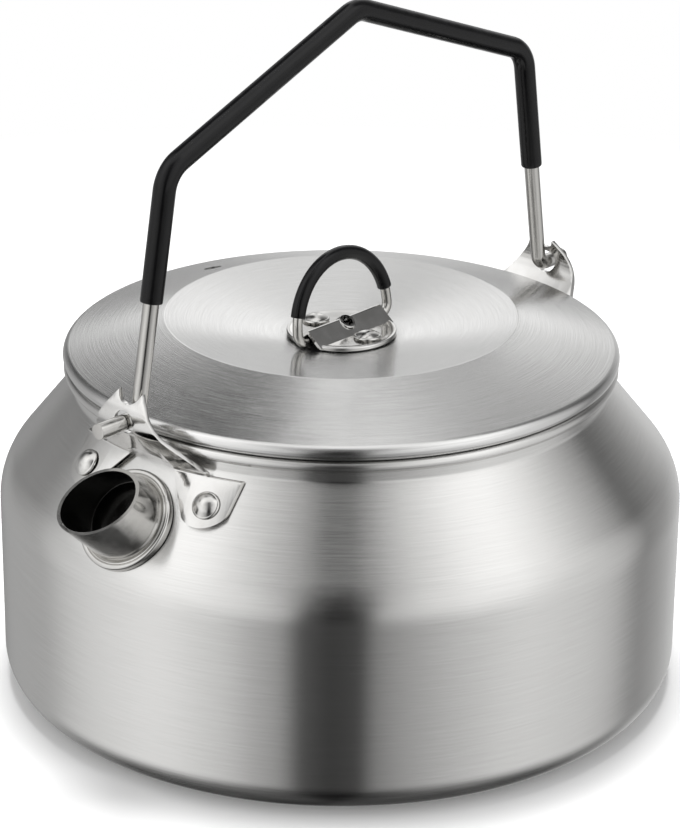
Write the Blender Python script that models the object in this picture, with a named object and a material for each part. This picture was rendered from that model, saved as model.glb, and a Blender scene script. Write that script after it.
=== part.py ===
"""Camp kettle of stainless steel sheet, with a folding wire bail, a loose lid and an open spout.

Metres, +Z up. The origin is the middle of the base, on the surface that the kettle stands on.
The bail's hinge line runs along X, and the spout is at +X.
"""
import math

import bmesh
import bpy
from mathutils import Matrix, Vector

# Clearances
GAP = 0.0003
MOUTH_CLEARANCE = 0.0008
TUNNEL_CLEARANCE = 0.0003
BAIL_HOLE_CLEARANCE = 0.00095

# Cutting: how far a hole's cutter reaches each way, and how far a blank runs past its cut
CUT_REACH = 0.006
TRIM = 0.0020

# Body, one deep drawn sheet
BODY_SHEET = 0.0007
BODY_RADIUS = 0.0825
BASE_CORNER = 0.0085
WALL_HEIGHT = 0.0524
SHOULDER_ROUND = 0.0170
SHOULDER_ANGLE = math.radians(51.0)
SHOULDER_WIDTH = 0.0182
NECK_ROUND = 0.0015
NECK_RISE = 0.004175
BEAD_RADIUS = 0.0014
BEAD_END = math.radians(-100.0)

# Lid, one pressed sheet with its rim turned down and in, and a ring welded under it
LID_SHEET = 0.0006
LID_OVERHANG = 0.00225
LID_SEAT_MARGIN = 0.0010
LID_SEAT_DEPTH = 0.0050
LID_SEAT_ROUND = 0.0200
LID_RIDGE_ROUND = 0.0015
LID_FLANGE_WIDTH = 0.02435
LID_FLANGE_ANGLE = math.radians(16.3)
LID_RIM_DEPTH = 0.00303
LID_RIM_ROUND = 0.0021
LID_HEM_ROUND = 0.0014
LID_HEM_WIDTH = 0.0024
VENT_RADIUS = 0.0022
VENT_INSET = 0.01625
VENT_TURN = math.radians(-97.5)
SKIRT_SHEET = 0.0006
SKIRT_DEPTH = 0.0095
SKIRT_FLANGE = 0.0050

# Bail, a bent wire in a plastic sleeve: reaches from the ears' knees, rises from the hinge line
BAIL_WIRE_RADIUS = 0.00185
BAIL_SLEEVE_RADIUS = 0.00275
BAIL_OFFSET = 0.0032
BAIL_TIP_REACH = 0.0062
BAIL_FOOT_SETBACK = 0.0061
BAIL_FOOT_BEND = 0.0032
BAIL_LEG_SLANT = 0.0095
BAIL_FRONT_SHOULDER_RISE = 0.0552
BAIL_REAR_SHOULDER_RISE = 0.0581
BAIL_SHOULDER_BEND = 0.0080
BAIL_PEAK_RISE = 0.0802
BAIL_PEAK_BEND = 0.0080
BAIL_FRONT_SLEEVE_RISE = 0.0260
BAIL_REAR_SLEEVE_RISE = 0.0274
BAIL_LEAN = math.radians(0.5)

# Ears, folded from sheet, with a foot riveted on each side
EAR_SHEET = 0.0010
EAR_FOLD_SETBACK = 0.0022
EAR_FOLD_ROUND = 0.0006
EAR_KNEE_REACH = 0.0102
EAR_KNEE_RISE = 0.011976
EAR_KNEE_ROUND = 0.0067
EAR_TOP_SETBACK = 0.0039
EAR_TOP_RISE = 0.0065
EAR_TOP_HALF_WIDTH = 0.0034
EAR_WAIST_HALF_WIDTH = 0.0082
EAR_BASE_HALF_WIDTH = 0.0155
EAR_BASE_RISE = 0.0008
EAR_NOTCH_DEPTH = 0.0025
EAR_ARCH_RISE = 0.0033
FOLD_RELIEF = 0.0001
FOOT_INNER = 0.0069
FOOT_OUTER = 0.0237
FOOT_ROUND = 0.0064
FOOT_CORNER_END = math.radians(-125.0)
EAR_RIVET_SIDE = 0.0182
EAR_RIVET_DROP = 0.0051

# Rivets
EAR_RIVET_HEAD = 0.0033
EAR_RIVET_HEAD_HEIGHT = 0.0017
EAR_RIVET_SHANK = 0.0016
PLATE_RIVET_HEAD = 0.0033
PLATE_RIVET_HEAD_HEIGHT = 0.0013
PLATE_RIVET_SHANK = 0.0015
RIVET_TAIL_FLARE = 0.0009
RIVET_TAIL_TAPER = 0.0004
RIVET_TAIL_HEIGHT = 0.0010

# Spout, a tapered tube with a flange outside the wall and a ferrule inside it
SPOUT_INSET = 0.0079
SPOUT_SHEET = 0.0008
SPOUT_FLANGE_RADIUS = 0.01205
SPOUT_FLANGE_HEIGHT = 0.0013
SPOUT_FLANGE_DEPTH = 0.0030
SPOUT_EDGE_ROUND = 0.0005
SPOUT_ROOT_RADIUS = 0.0100
SPOUT_ROOT_HEIGHT = 0.0024
SPOUT_MOUTH_RADIUS = 0.0089
SPOUT_LENGTH = 0.0121
SPOUT_CUT_ANGLE = math.radians(24.0)
SPIGOT_RADIUS = 0.0086
SPIGOT_DEPTH = 0.0035
FERRULE_WALL = 0.0023
FERRULE_SETBACK = 0.0004

# Lid handle, a wire loop in a tunnel across a riveted plate
PLATE_RADIUS = 0.0132
PLATE_SHEET = 0.0010
PLATE_EDGE_ROUND = 0.0004
PLATE_RIVET_DISTANCE = 0.0083
TUNNEL_OFFSET = 0.0007
TUNNEL_LIFT = 0.0003
TUNNEL_END_SETBACK = 0.0005
TUNNEL_SHEET = 0.0008
TUNNEL_SLOPE = math.radians(38.0)
TUNNEL_RIDGE_ROUND = 0.0009
PIERCE_RADIUS = 0.0010
PIERCE_ANGLE = math.radians(30.0)
LOOP_WIRE_RADIUS = 0.00120
LOOP_SLEEVE_RADIUS = 0.00175
LOOP_REACH = 0.0025
LOOP_FOOT_BEND = 0.0027
LOOP_WIRE_END = 0.0030
LOOP_SLEEVE_ANGLE = math.radians(14.0)
LOOP_LEAN = math.radians(6.0)

# Facets
BODY_STEPS = 56
PLATE_STEPS = 36
SPOUT_STEPS = 28
HOLE_STEPS = 16
EAR_STEPS = 14
RIVET_STEPS = 12
FINE_ARC_STEP = math.radians(12.0)
LOOP_ARC_STEP = math.radians(15.0)
ARC_STEP = math.radians(20.0)
ARCH_ARC_STEP = math.radians(30.0)
BEAD_ARC_STEP = math.radians(40.0)
SHARP_ANGLE = math.radians(35.0)

# Places that follow from the sizes above
NECK_RADIUS = BODY_RADIUS - SHOULDER_WIDTH
BEAD_HEIGHT = WALL_HEIGHT + SHOULDER_WIDTH * math.tan(SHOULDER_ANGLE) + NECK_RISE
LID_HEM_HEIGHT = BEAD_HEIGHT + BEAD_RADIUS + GAP
LID_RADIUS = NECK_RADIUS + LID_OVERHANG
LID_RIDGE_RADIUS = LID_RADIUS - LID_FLANGE_WIDTH
LID_RIDGE_HEIGHT = LID_HEM_HEIGHT + LID_RIM_DEPTH + LID_FLANGE_WIDTH * math.tan(LID_FLANGE_ANGLE)
LID_SEAT_RADIUS = PLATE_RADIUS + LID_SEAT_MARGIN
LID_SEAT_HEIGHT = LID_RIDGE_HEIGHT - LID_SEAT_DEPTH
EAR_FOLD_DISTANCE = NECK_RADIUS + EAR_FOLD_SETBACK
EAR_KNEE_DISTANCE = EAR_FOLD_DISTANCE + EAR_KNEE_REACH
EAR_TOP_DISTANCE = EAR_KNEE_DISTANCE - EAR_TOP_SETBACK
BAIL_TIP = EAR_KNEE_DISTANCE + BAIL_TIP_REACH
BAIL_FOOT = EAR_KNEE_DISTANCE - BAIL_FOOT_SETBACK
BAIL_SHOULDER = BAIL_FOOT - BAIL_LEG_SLANT
TUNNEL_HEIGHT = LID_SEAT_HEIGHT + LOOP_WIRE_RADIUS + TUNNEL_LIFT
TUNNEL_HALF_LENGTH = PLATE_RADIUS - TUNNEL_END_SETBACK
LOOP_RADIUS = PLATE_RADIUS + LOOP_REACH


def shoulder_height(distance):
    """Height of the body's conical shoulder at a distance from the kettle's axis."""
    return WALL_HEIGHT + (BODY_RADIUS - distance) * math.tan(SHOULDER_ANGLE)


def flange_height(distance):
    """Height of the top of the lid's outer slope at a distance from the kettle's axis."""
    return LID_RIDGE_HEIGHT - (distance - LID_RIDGE_RADIUS) * math.tan(LID_FLANGE_ANGLE)


def ear_foot_height(distance):
    """Height of the outer face of an ear's foot, which lies on the shoulder."""
    return shoulder_height(distance) + (GAP + EAR_SHEET) / math.cos(SHOULDER_ANGLE)


def pivot_height():
    """Height of the bail's hinge line, which the knees of the ears set."""
    return ear_foot_height(EAR_FOLD_DISTANCE) + EAR_KNEE_RISE


def ear_top_height():
    return pivot_height() + EAR_TOP_RISE


def ear_turn():
    """How far each ear sits round from the diameter, so that the hinge line is offset in Y."""
    return math.asin(BAIL_OFFSET / EAR_KNEE_DISTANCE)


def finish(name, color, roughness, metallic):
    """Give a plain material for one kind of surface."""
    made = bpy.data.materials.get(name)
    if made is None:
        made = bpy.data.materials.new(name)
        made.use_nodes = True
        shader = made.node_tree.nodes["Principled BSDF"]
        shader.inputs["Base Color"].default_value = (*color, 1.0)
        shader.inputs["Roughness"].default_value = roughness
        shader.inputs["Metallic"].default_value = metallic
    return made


def brushed_steel():
    return finish("brushed_steel", (0.60, 0.60, 0.59), 0.32, 1.0)


def bright_steel():
    return finish("bright_steel", (0.66, 0.65, 0.63), 0.14, 1.0)


def black_plastic():
    return finish("black_plastic", (0.012, 0.012, 0.013), 0.25, 0.0)


def polar(radius, angle):
    return Vector((radius * math.cos(angle), radius * math.sin(angle)))


def arc(center, radius, start, end, step=ARC_STEP):
    """Points along an arc in a plane, both ends included."""
    count = max(2, round(abs(end - start) / step))
    return [Vector(center) + polar(radius, start + (end - start) * i / count) for i in range(count + 1)]


def rounded(corners, step=ARC_STEP):
    """A line through corners (x, z, radius), each rounded with an arc of its radius."""
    points = []
    for i, (x, z, radius) in enumerate(corners):
        corner = Vector((x, z))
        if radius <= 0.0 or i in (0, len(corners) - 1):
            points.append(corner)
            continue
        back = (Vector(corners[i - 1][:2]) - corner).normalized()
        ahead = (Vector(corners[i + 1][:2]) - corner).normalized()
        half = back.angle(ahead) / 2.0
        center = corner + (back + ahead).normalized() * radius / math.sin(half)
        first = corner + back * radius / math.tan(half) - center
        last = corner + ahead * radius / math.tan(half) - center
        start = math.atan2(first.y, first.x)
        turn = (math.atan2(last.y, last.x) - start + math.pi) % (2.0 * math.pi) - math.pi
        points += arc(center, radius, start, start + turn, step)
    return points


def shifted(corners, distance):
    """The same line of corners moved to its left by a distance, with each radius changed to suit."""
    moved = []
    count = len(corners)
    for i, (x, z, radius) in enumerate(corners):
        here = Vector((x, z))
        normals = []
        if i > 0:
            along = (here - Vector(corners[i - 1][:2])).normalized()
            normals.append(Vector((-along.y, along.x)))
        if i < count - 1:
            along = (Vector(corners[i + 1][:2]) - here).normalized()
            normals.append(Vector((-along.y, along.x)))
        middle = sum(normals, Vector((0.0, 0.0))).normalized()
        place = here + middle * distance / middle.dot(normals[0])
        left_turn = len(normals) == 2 and normals[0].cross(normals[1]) > 0.0
        moved.append((place.x, place.y, max(0.0, radius + (-distance if left_turn else distance))))
    return moved


def add_object(name, mesh, material, parent=None):
    made = bpy.data.objects.new(name, mesh)
    bpy.context.scene.collection.objects.link(made)
    made.data.materials.append(material)
    made.parent = parent
    return made


def add_empty(name, location):
    empty = bpy.data.objects.new(name, None)
    bpy.context.scene.collection.objects.link(empty)
    empty.location = location
    return empty


def mesh_from(bm, name):
    bmesh.ops.remove_doubles(bm, verts=bm.verts, dist=1e-7)
    bmesh.ops.recalc_face_normals(bm, faces=bm.faces)
    mesh = bpy.data.meshes.new(name)
    bm.to_mesh(mesh)
    bm.free()
    mesh.shade_smooth()
    mesh.set_sharp_from_angle(angle=SHARP_ANGLE)
    return mesh


def turned(name, points, steps, closed=False, sweep=math.tau):
    """Spin a profile in the XZ plane about Z. A closed profile is a ring, an open one ends on Z."""
    bm = bmesh.new()
    verts = [bm.verts.new((p.x, 0.0, p.y)) for p in points]
    pairs = list(zip(verts, verts[1:]))
    if closed:
        pairs.append((verts[-1], verts[0]))
    edges = [bm.edges.new(pair) for pair in pairs]
    full = sweep == math.tau
    bmesh.ops.rotate(bm, verts=verts, matrix=Matrix.Rotation(0.0 if full else -sweep / 2.0, 3, "Z"))
    bmesh.ops.spin(bm, geom=verts + edges, axis=(0, 0, 1), cent=(0, 0, 0), dvec=(0, 0, 0),
                   angle=sweep, steps=steps, use_merge=full)
    if not full:
        bmesh.ops.holes_fill(bm, edges=[e for e in bm.edges if e.is_boundary], sides=0)
    return mesh_from(bm, name)


def prism(name, outline, start, end):
    """Extrude an outline given as (y, z) along X."""
    bm = bmesh.new()
    face = bm.faces.new([bm.verts.new((start, y, z)) for y, z in outline])
    grown = bmesh.ops.extrude_face_region(bm, geom=[face])
    moved = [g for g in grown["geom"] if isinstance(g, bmesh.types.BMVert)]
    bmesh.ops.translate(bm, verts=moved, vec=(end - start, 0, 0))
    return mesh_from(bm, name)


def rod(name, radius, start, end, steps):
    """A plain round bar along Z."""
    profile = [Vector((0.0, start)), Vector((radius, start)), Vector((radius, end)), Vector((0.0, end))]
    return turned(name, profile, steps)


def block(name, low, high):
    bm = bmesh.new()
    bmesh.ops.create_cube(bm, size=1.0)
    size = Vector(high) - Vector(low)
    bmesh.ops.scale(bm, verts=bm.verts, vec=size)
    bmesh.ops.translate(bm, verts=bm.verts, vec=(Vector(high) + Vector(low)) / 2.0)
    return mesh_from(bm, name)


def add_cutter(name, mesh, matrix=None):
    cutter = add_object(name, mesh, brushed_steel())
    cutter.hide_render = True
    cutter.display_type = "WIRE"
    if matrix is not None:
        cutter.matrix_world = matrix
    return cutter


def combine(target, cutter, operation):
    modifier = target.modifiers.new(cutter.name, "BOOLEAN")
    modifier.operation = operation
    modifier.object = cutter
    modifier.solver = "EXACT"
    return modifier


def aligned(origin, direction):
    """A matrix at an origin whose Z runs along a direction in the XZ plane, with Y left as it is."""
    z_axis = Vector(direction).normalized()
    y_axis = Vector((0.0, 1.0, 0.0))
    x_axis = y_axis.cross(z_axis)
    turn = Matrix((x_axis, y_axis, z_axis)).transposed().to_4x4()
    return Matrix.Translation(origin) @ turn


def shoulder_frame(side_turn, distance):
    """A frame on the shoulder's surface, Z out of it, at an angle round from the X axis."""
    origin = Vector((distance, 0.0, shoulder_height(distance)))
    out = (math.sin(SHOULDER_ANGLE), 0.0, math.cos(SHOULDER_ANGLE))
    return Matrix.Rotation(side_turn, 4, "Z") @ aligned(origin, out)


def body_outline():
    """Corners of the body's outer surface, from the middle of the base up to the bead."""
    return [
        (0.0, 0.0, 0.0),
        (BODY_RADIUS, 0.0, BASE_CORNER),
        (BODY_RADIUS, WALL_HEIGHT, SHOULDER_ROUND),
        (NECK_RADIUS, shoulder_height(NECK_RADIUS), NECK_ROUND),
        (NECK_RADIUS, BEAD_HEIGHT, 0.0),
    ]


def body_profile():
    """The sheet's section: up the inside, over the curled bead and down the outside."""
    inside = rounded(shifted(body_outline(), BODY_SHEET), FINE_ARC_STEP)
    outside = rounded(body_outline(), FINE_ARC_STEP)
    bead_center = (NECK_RADIUS - BODY_SHEET + BEAD_RADIUS, BEAD_HEIGHT)
    over = arc(bead_center, BEAD_RADIUS, math.pi, BEAD_END, BEAD_ARC_STEP)
    back = arc(bead_center, BEAD_RADIUS - BODY_SHEET, BEAD_END, math.pi, BEAD_ARC_STEP)
    return inside[:-1] + over + back + outside[-2::-1]


def body_solid(name, outset):
    """The space inside the body's outer surface, grown by an outset."""
    outline = rounded(shifted(body_outline(), -outset), FINE_ARC_STEP)
    return turned(name, outline + [Vector((0.0, outline[-1].y))], BODY_STEPS)


def ear_rivet_frame(side):
    """Where one rivet of an ear passes through the shoulder, seen from an ear at +X."""
    distance = EAR_FOLD_DISTANCE + EAR_RIVET_DROP * math.cos(SHOULDER_ANGLE)
    return shoulder_frame(side * math.asin(EAR_RIVET_SIDE / distance), distance)


def ear_turns():
    return {"front": ear_turn(), "rear": math.pi - ear_turn()}


def spout_frame():
    return shoulder_frame(ear_turn(), BODY_RADIUS - SPOUT_INSET)


def make_body():
    """The drawn shell, with its spout hole and four rivet holes."""
    body = add_object("kettle_body", turned("kettle_body", body_profile(), BODY_STEPS), brushed_steel())
    hole = rod("spout_hole_cutter", SPIGOT_RADIUS + GAP, -CUT_REACH, CUT_REACH, SPOUT_STEPS)
    combine(body, add_cutter("spout_hole_cutter", hole, spout_frame()), "DIFFERENCE")
    for end, turn in ear_turns().items():
        for side in (-1, 1):
            name = f"body_rivet_cutter_{end}_{side}"
            cutter = rod(name, EAR_RIVET_SHANK + GAP, -CUT_REACH, CUT_REACH, RIVET_STEPS)
            place = Matrix.Rotation(turn, 4, "Z") @ ear_rivet_frame(side)
            combine(body, add_cutter(name, cutter, place), "DIFFERENCE")
    return body


def make_spout():
    """The spout tube: flange outside the wall, spigot through it, mouth cut at a slant."""
    mouth_top = SPOUT_LENGTH + SPOUT_MOUTH_RADIUS * math.tan(SPOUT_CUT_ANGLE) + TRIM
    outside = [
        (SPIGOT_RADIUS, -SPIGOT_DEPTH, 0.0),
        (SPIGOT_RADIUS, -SPOUT_FLANGE_DEPTH, 0.0),
        (SPOUT_FLANGE_RADIUS, -SPOUT_FLANGE_DEPTH, 0.0),
        (SPOUT_FLANGE_RADIUS, SPOUT_FLANGE_HEIGHT, SPOUT_EDGE_ROUND),
        (SPOUT_ROOT_RADIUS, SPOUT_FLANGE_HEIGHT, SPOUT_EDGE_ROUND),
        (SPOUT_ROOT_RADIUS, SPOUT_ROOT_HEIGHT, 0.0),
        (SPOUT_MOUTH_RADIUS, mouth_top, 0.0),
    ]
    inside = [
        Vector((SPOUT_MOUTH_RADIUS - SPOUT_SHEET, mouth_top)),
        Vector((SPOUT_ROOT_RADIUS - SPOUT_SHEET, SPOUT_ROOT_HEIGHT)),
        Vector((SPIGOT_RADIUS - SPOUT_SHEET, SPOUT_FLANGE_HEIGHT)),
        Vector((SPIGOT_RADIUS - SPOUT_SHEET, -SPIGOT_DEPTH)),
    ]
    mesh = turned("spout_tube", rounded(outside) + inside, SPOUT_STEPS, closed=True)
    spout = add_object("spout_tube", mesh, bright_steel())
    spout.matrix_world = spout_frame()

    seat = add_cutter("spout_seat_cutter", body_solid("spout_seat_cutter", GAP))
    core = rod("spout_core_cutter", SPIGOT_RADIUS + GAP / 2.0, -CUT_REACH, CUT_REACH, SPOUT_STEPS)
    combine(seat, add_cutter("spout_core_cutter", core, spout_frame()), "DIFFERENCE")
    combine(spout, seat, "DIFFERENCE")

    reach = 2.0 * SPOUT_FLANGE_RADIUS
    slab = block("spout_mouth_cutter", (-reach, -reach, 0.0), (reach, reach, reach))
    slant = Matrix.Translation((0.0, 0.0, SPOUT_LENGTH)) @ Matrix.Rotation(-SPOUT_CUT_ANGLE, 4, "Y")
    combine(spout, add_cutter("spout_mouth_cutter", slab, spout_frame() @ slant), "DIFFERENCE")
    return spout


def make_ferrule():
    """The ring on the spigot that holds the spout from inside the wall."""
    low = -SPIGOT_DEPTH + FERRULE_SETBACK
    bore = SPIGOT_RADIUS + GAP
    rim = bore + FERRULE_WALL
    section = [Vector((bore, low)), Vector((rim, low)), Vector((rim, 0.0)), Vector((bore, 0.0))]
    mesh = turned("spout_ferrule", section, SPOUT_STEPS, closed=True)
    ferrule = add_object("spout_ferrule", mesh, bright_steel())
    ferrule.matrix_world = spout_frame()
    cavity = add_cutter("ferrule_cavity_cutter", body_solid("ferrule_cavity_cutter", -BODY_SHEET - GAP))
    combine(ferrule, cavity, "INTERSECT")
    return ferrule


def ear_section():
    """Corners of the ear's outer face: down the web, round the fold and down the foot."""
    foot_end = EAR_FOLD_DISTANCE + EAR_RIVET_DROP + FOOT_ROUND
    lean = EAR_TOP_SETBACK / EAR_TOP_RISE
    return [
        (EAR_TOP_DISTANCE - lean * TRIM, ear_top_height() + TRIM, 0.0),
        (EAR_KNEE_DISTANCE, pivot_height(), EAR_KNEE_ROUND),
        (EAR_FOLD_DISTANCE, ear_foot_height(EAR_FOLD_DISTANCE), EAR_FOLD_ROUND),
        (foot_end, ear_foot_height(foot_end), 0.0),
    ]


def ear_outline():
    """Half of the ear's outline seen from in front, (y, z), from the notch to the arch."""
    fold = ear_foot_height(EAR_FOLD_DISTANCE)
    slope = math.sin(SHOULDER_ANGLE)
    notch = (EAR_TOP_HALF_WIDTH**2 + EAR_NOTCH_DEPTH**2) / (2.0 * EAR_NOTCH_DEPTH)
    notch_center = ear_top_height() - EAR_NOTCH_DEPTH + notch
    reach = math.asin(EAR_TOP_HALF_WIDTH / notch)
    half = [Vector(p) for p in arc((0.0, notch_center), notch, -math.pi / 2.0, reach - math.pi / 2.0)]
    half.append(Vector((EAR_WAIST_HALF_WIDTH, pivot_height())))
    half.append(Vector((EAR_BASE_HALF_WIDTH, fold + EAR_BASE_RISE)))
    half.append(Vector((EAR_BASE_HALF_WIDTH, fold - FOLD_RELIEF)))
    half.append(Vector((FOOT_OUTER, fold - FOLD_RELIEF)))
    for point in arc((EAR_RIVET_SIDE, -EAR_RIVET_DROP), FOOT_ROUND, 0.0, FOOT_CORNER_END):
        half.append(Vector((point.x, fold + point.y * slope)))
    half.append(Vector((FOOT_INNER, fold - FOLD_RELIEF)))
    for point in arc((0.0, 0.0), 1.0, 0.0, math.pi / 2.0, ARCH_ARC_STEP)[1:]:
        half.append(Vector((FOOT_INNER * point.x, fold + EAR_ARCH_RISE * point.y)))
    return half


def make_ear(name, turn):
    """A folded ear: curved web with a hole and a notch, and two feet on the shoulder."""
    outer = ear_section()
    inner = shifted(outer, -EAR_SHEET)
    section = rounded(outer) + rounded(inner)[::-1]
    sweep = 2.0 * math.atan2(FOOT_OUTER + FOOT_ROUND, EAR_FOLD_DISTANCE)
    blank = turned(name, section, EAR_STEPS, closed=True, sweep=sweep)
    ear = add_object(name, blank, bright_steel())
    half = ear_outline()
    outline = [(p.x, p.y) for p in half] + [(-p.x, p.y) for p in half[-2:0:-1]]
    beyond = 2.0 * EAR_KNEE_DISTANCE
    shape = prism(name + "_outline_cutter", outline, 0.0, beyond)
    combine(ear, add_cutter(name + "_outline_cutter", shape), "INTERSECT")
    hole = rod(name + "_hole_cutter", BAIL_WIRE_RADIUS + BAIL_HOLE_CLEARANCE, 0.0, beyond, HOLE_STEPS)
    place = aligned(Vector((0.0, 0.0, pivot_height())), (1.0, 0.0, 0.0))
    combine(ear, add_cutter(name + "_hole_cutter", hole, place), "DIFFERENCE")
    for side in (-1, 1):
        bore = rod(f"{name}_rivet_cutter_{side}", EAR_RIVET_SHANK + GAP, -CUT_REACH, CUT_REACH, RIVET_STEPS)
        cutter = add_cutter(f"{name}_rivet_cutter_{side}", bore, ear_rivet_frame(side))
        combine(ear, cutter, "DIFFERENCE")
    holder = add_empty(name + "_place", (0.0, 0.0, 0.0))
    for piece in [ear] + [modifier.object for modifier in ear.modifiers]:
        piece.parent = holder
    holder.rotation_euler.z = turn
    return ear


def rivet_mesh(name, head, head_height, shank, grip_top, grip_bottom):
    """A domed rivet along Z: head above the grip, formed tail below it."""
    bulge = (head**2 + head_height**2) / (2.0 * head_height)
    start = math.acos(head / bulge)
    dome = arc((0.0, grip_top + head_height - bulge), bulge, math.pi / 2.0, start, LOOP_ARC_STEP)
    tail = shank + RIVET_TAIL_FLARE
    profile = dome + [
        Vector((shank, grip_top)),
        Vector((shank, grip_bottom)),
        Vector((tail, grip_bottom)),
        Vector((tail - RIVET_TAIL_TAPER, grip_bottom - RIVET_TAIL_HEIGHT)),
        Vector((0.0, grip_bottom - RIVET_TAIL_HEIGHT)),
    ]
    return turned(name, profile, RIVET_STEPS)


def make_ear_rivets():
    grip_top = 2.0 * GAP + EAR_SHEET
    grip_bottom = -BODY_SHEET - GAP
    for end, turn in ear_turns().items():
        for side, label in ((-1, "right"), (1, "left")):
            name = f"{end}_ear_rivet_{label}"
            mesh = rivet_mesh(name, EAR_RIVET_HEAD, EAR_RIVET_HEAD_HEIGHT, EAR_RIVET_SHANK,
                              grip_top, grip_bottom)
            rivet = add_object(name, mesh, bright_steel())
            rivet.matrix_world = Matrix.Rotation(turn, 4, "Z") @ ear_rivet_frame(side)


def lid_outline():
    """Corners of the lid's top surface, from the middle out to the turned-in hem."""
    return [
        (0.0, LID_SEAT_HEIGHT, 0.0),
        (LID_SEAT_RADIUS, LID_SEAT_HEIGHT, LID_SEAT_ROUND),
        (LID_RIDGE_RADIUS, LID_RIDGE_HEIGHT, LID_RIDGE_ROUND),
        (LID_RADIUS, flange_height(LID_RADIUS), LID_RIM_ROUND),
        (LID_RADIUS, LID_HEM_HEIGHT, LID_HEM_ROUND),
        (LID_RADIUS - LID_HEM_WIDTH, LID_HEM_HEIGHT, 0.0),
    ]


def make_lid():
    """The pressed lid: dished middle, raised ridge, sloping flange and rolled rim, with a steam vent."""
    top = rounded(lid_outline())
    under = rounded(shifted(lid_outline(), -LID_SHEET))
    profile = under + top[::-1]
    lid = add_object("lid_shell", turned("lid_shell", profile, BODY_STEPS), brushed_steel())

    distance = LID_RADIUS - VENT_INSET
    vent_at = Vector((distance, 0.0, flange_height(distance)))
    out = (math.sin(LID_FLANGE_ANGLE), 0.0, math.cos(LID_FLANGE_ANGLE))
    vent = rod("vent_cutter", VENT_RADIUS, -CUT_REACH, CUT_REACH, HOLE_STEPS)
    place = Matrix.Rotation(VENT_TURN, 4, "Z") @ aligned(vent_at, out)
    combine(lid, add_cutter("vent_cutter", vent, place), "DIFFERENCE")

    for side in (-1, 1):
        name = f"lid_rivet_cutter_{side}"
        bore = rod(name, PLATE_RIVET_SHANK + GAP, -CUT_REACH, CUT_REACH, RIVET_STEPS)
        place = Matrix.Translation((0.0, side * PLATE_RIVET_DISTANCE, LID_SEAT_HEIGHT))
        combine(lid, add_cutter(name, bore, place), "DIFFERENCE")
    return lid


def make_skirt():
    """The ring welded under the lid, which drops into the body's mouth."""
    radius = NECK_RADIUS - BODY_SHEET - MOUTH_CLEARANCE
    drop = LID_SHEET / math.cos(LID_FLANGE_ANGLE) + GAP
    inner = radius - SKIRT_FLANGE
    outline = [
        (inner, flange_height(inner) - drop, 0.0),
        (radius, flange_height(radius) - drop, 0.0),
        (radius, flange_height(radius) - drop - SKIRT_DEPTH, 0.0),
    ]
    section = rounded(outline) + rounded(shifted(outline, -SKIRT_SHEET))[::-1]
    return add_object("lid_skirt", turned("lid_skirt", section, BODY_STEPS, closed=True), brushed_steel())


def plate_bottom():
    return LID_SEAT_HEIGHT + GAP


def tunnel_outline(distance, low, ridge_round):
    """The outline, (y, z), of the folded tunnel at a distance from its axis, with feet down to a height."""
    ridge = TUNNEL_HEIGHT + distance / math.cos(TUNNEL_SLOPE)
    spread = (ridge - low) / math.tan(TUNNEL_SLOPE)
    corners = [
        (TUNNEL_OFFSET + spread, low, 0.0),
        (TUNNEL_OFFSET, ridge, ridge_round),
        (TUNNEL_OFFSET - spread, low, 0.0),
    ]
    return [(p.x, p.y) for p in rounded(corners)]


def make_plate():
    """The handle plate: a thin disc with a tunnel folded up across it."""
    bore = LOOP_WIRE_RADIUS + TUNNEL_CLEARANCE
    low = plate_bottom()
    rim = [(0.0, low + PLATE_SHEET, 0.0), (PLATE_RADIUS, low + PLATE_SHEET, PLATE_EDGE_ROUND),
           (PLATE_RADIUS, low, 0.0), (0.0, low, 0.0)]
    disc = turned("lid_handle_plate", rounded(rim, BEAD_ARC_STEP), PLATE_STEPS)
    plate = add_object("lid_handle_plate", disc, bright_steel())

    outside = tunnel_outline(bore + TUNNEL_SHEET, low + PLATE_SHEET / 2.0, TUNNEL_RIDGE_ROUND)
    ridge = prism("plate_ridge_cutter", outside, -TUNNEL_HALF_LENGTH, TUNNEL_HALF_LENGTH)
    combine(plate, add_cutter("plate_ridge_cutter", ridge), "UNION")
    inside = tunnel_outline(bore, low - TRIM, 0.0)
    slot = prism("plate_slot_cutter", inside, -LOOP_RADIUS, LOOP_RADIUS)
    combine(plate, add_cutter("plate_slot_cutter", slot), "DIFFERENCE")

    pierce = rod("plate_pierce_cutter", PIERCE_RADIUS, 0.0, CUT_REACH, RIVET_STEPS)
    tilt = Matrix.Translation((0.0, TUNNEL_OFFSET, TUNNEL_HEIGHT)) @ Matrix.Rotation(-PIERCE_ANGLE, 4, "X")
    combine(plate, add_cutter("plate_pierce_cutter", pierce, tilt), "DIFFERENCE")

    for side in (-1, 1):
        name = f"plate_rivet_cutter_{side}"
        hole = rod(name, PLATE_RIVET_SHANK + GAP, -CUT_REACH, CUT_REACH, RIVET_STEPS)
        place = Matrix.Translation((0.0, side * PLATE_RIVET_DISTANCE, low))
        combine(plate, add_cutter(name, hole, place), "DIFFERENCE")
    return plate


def make_plate_rivets():
    for side, label in ((-1, "right"), (1, "left")):
        name = f"plate_rivet_{label}"
        mesh = rivet_mesh(name, PLATE_RIVET_HEAD, PLATE_RIVET_HEAD_HEIGHT, PLATE_RIVET_SHANK,
                          GAP + PLATE_SHEET + GAP, -LID_SHEET - GAP)
        rivet = add_object(name, mesh, bright_steel())
        rivet.location = (0.0, side * PLATE_RIVET_DISTANCE, LID_SEAT_HEIGHT)


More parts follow.
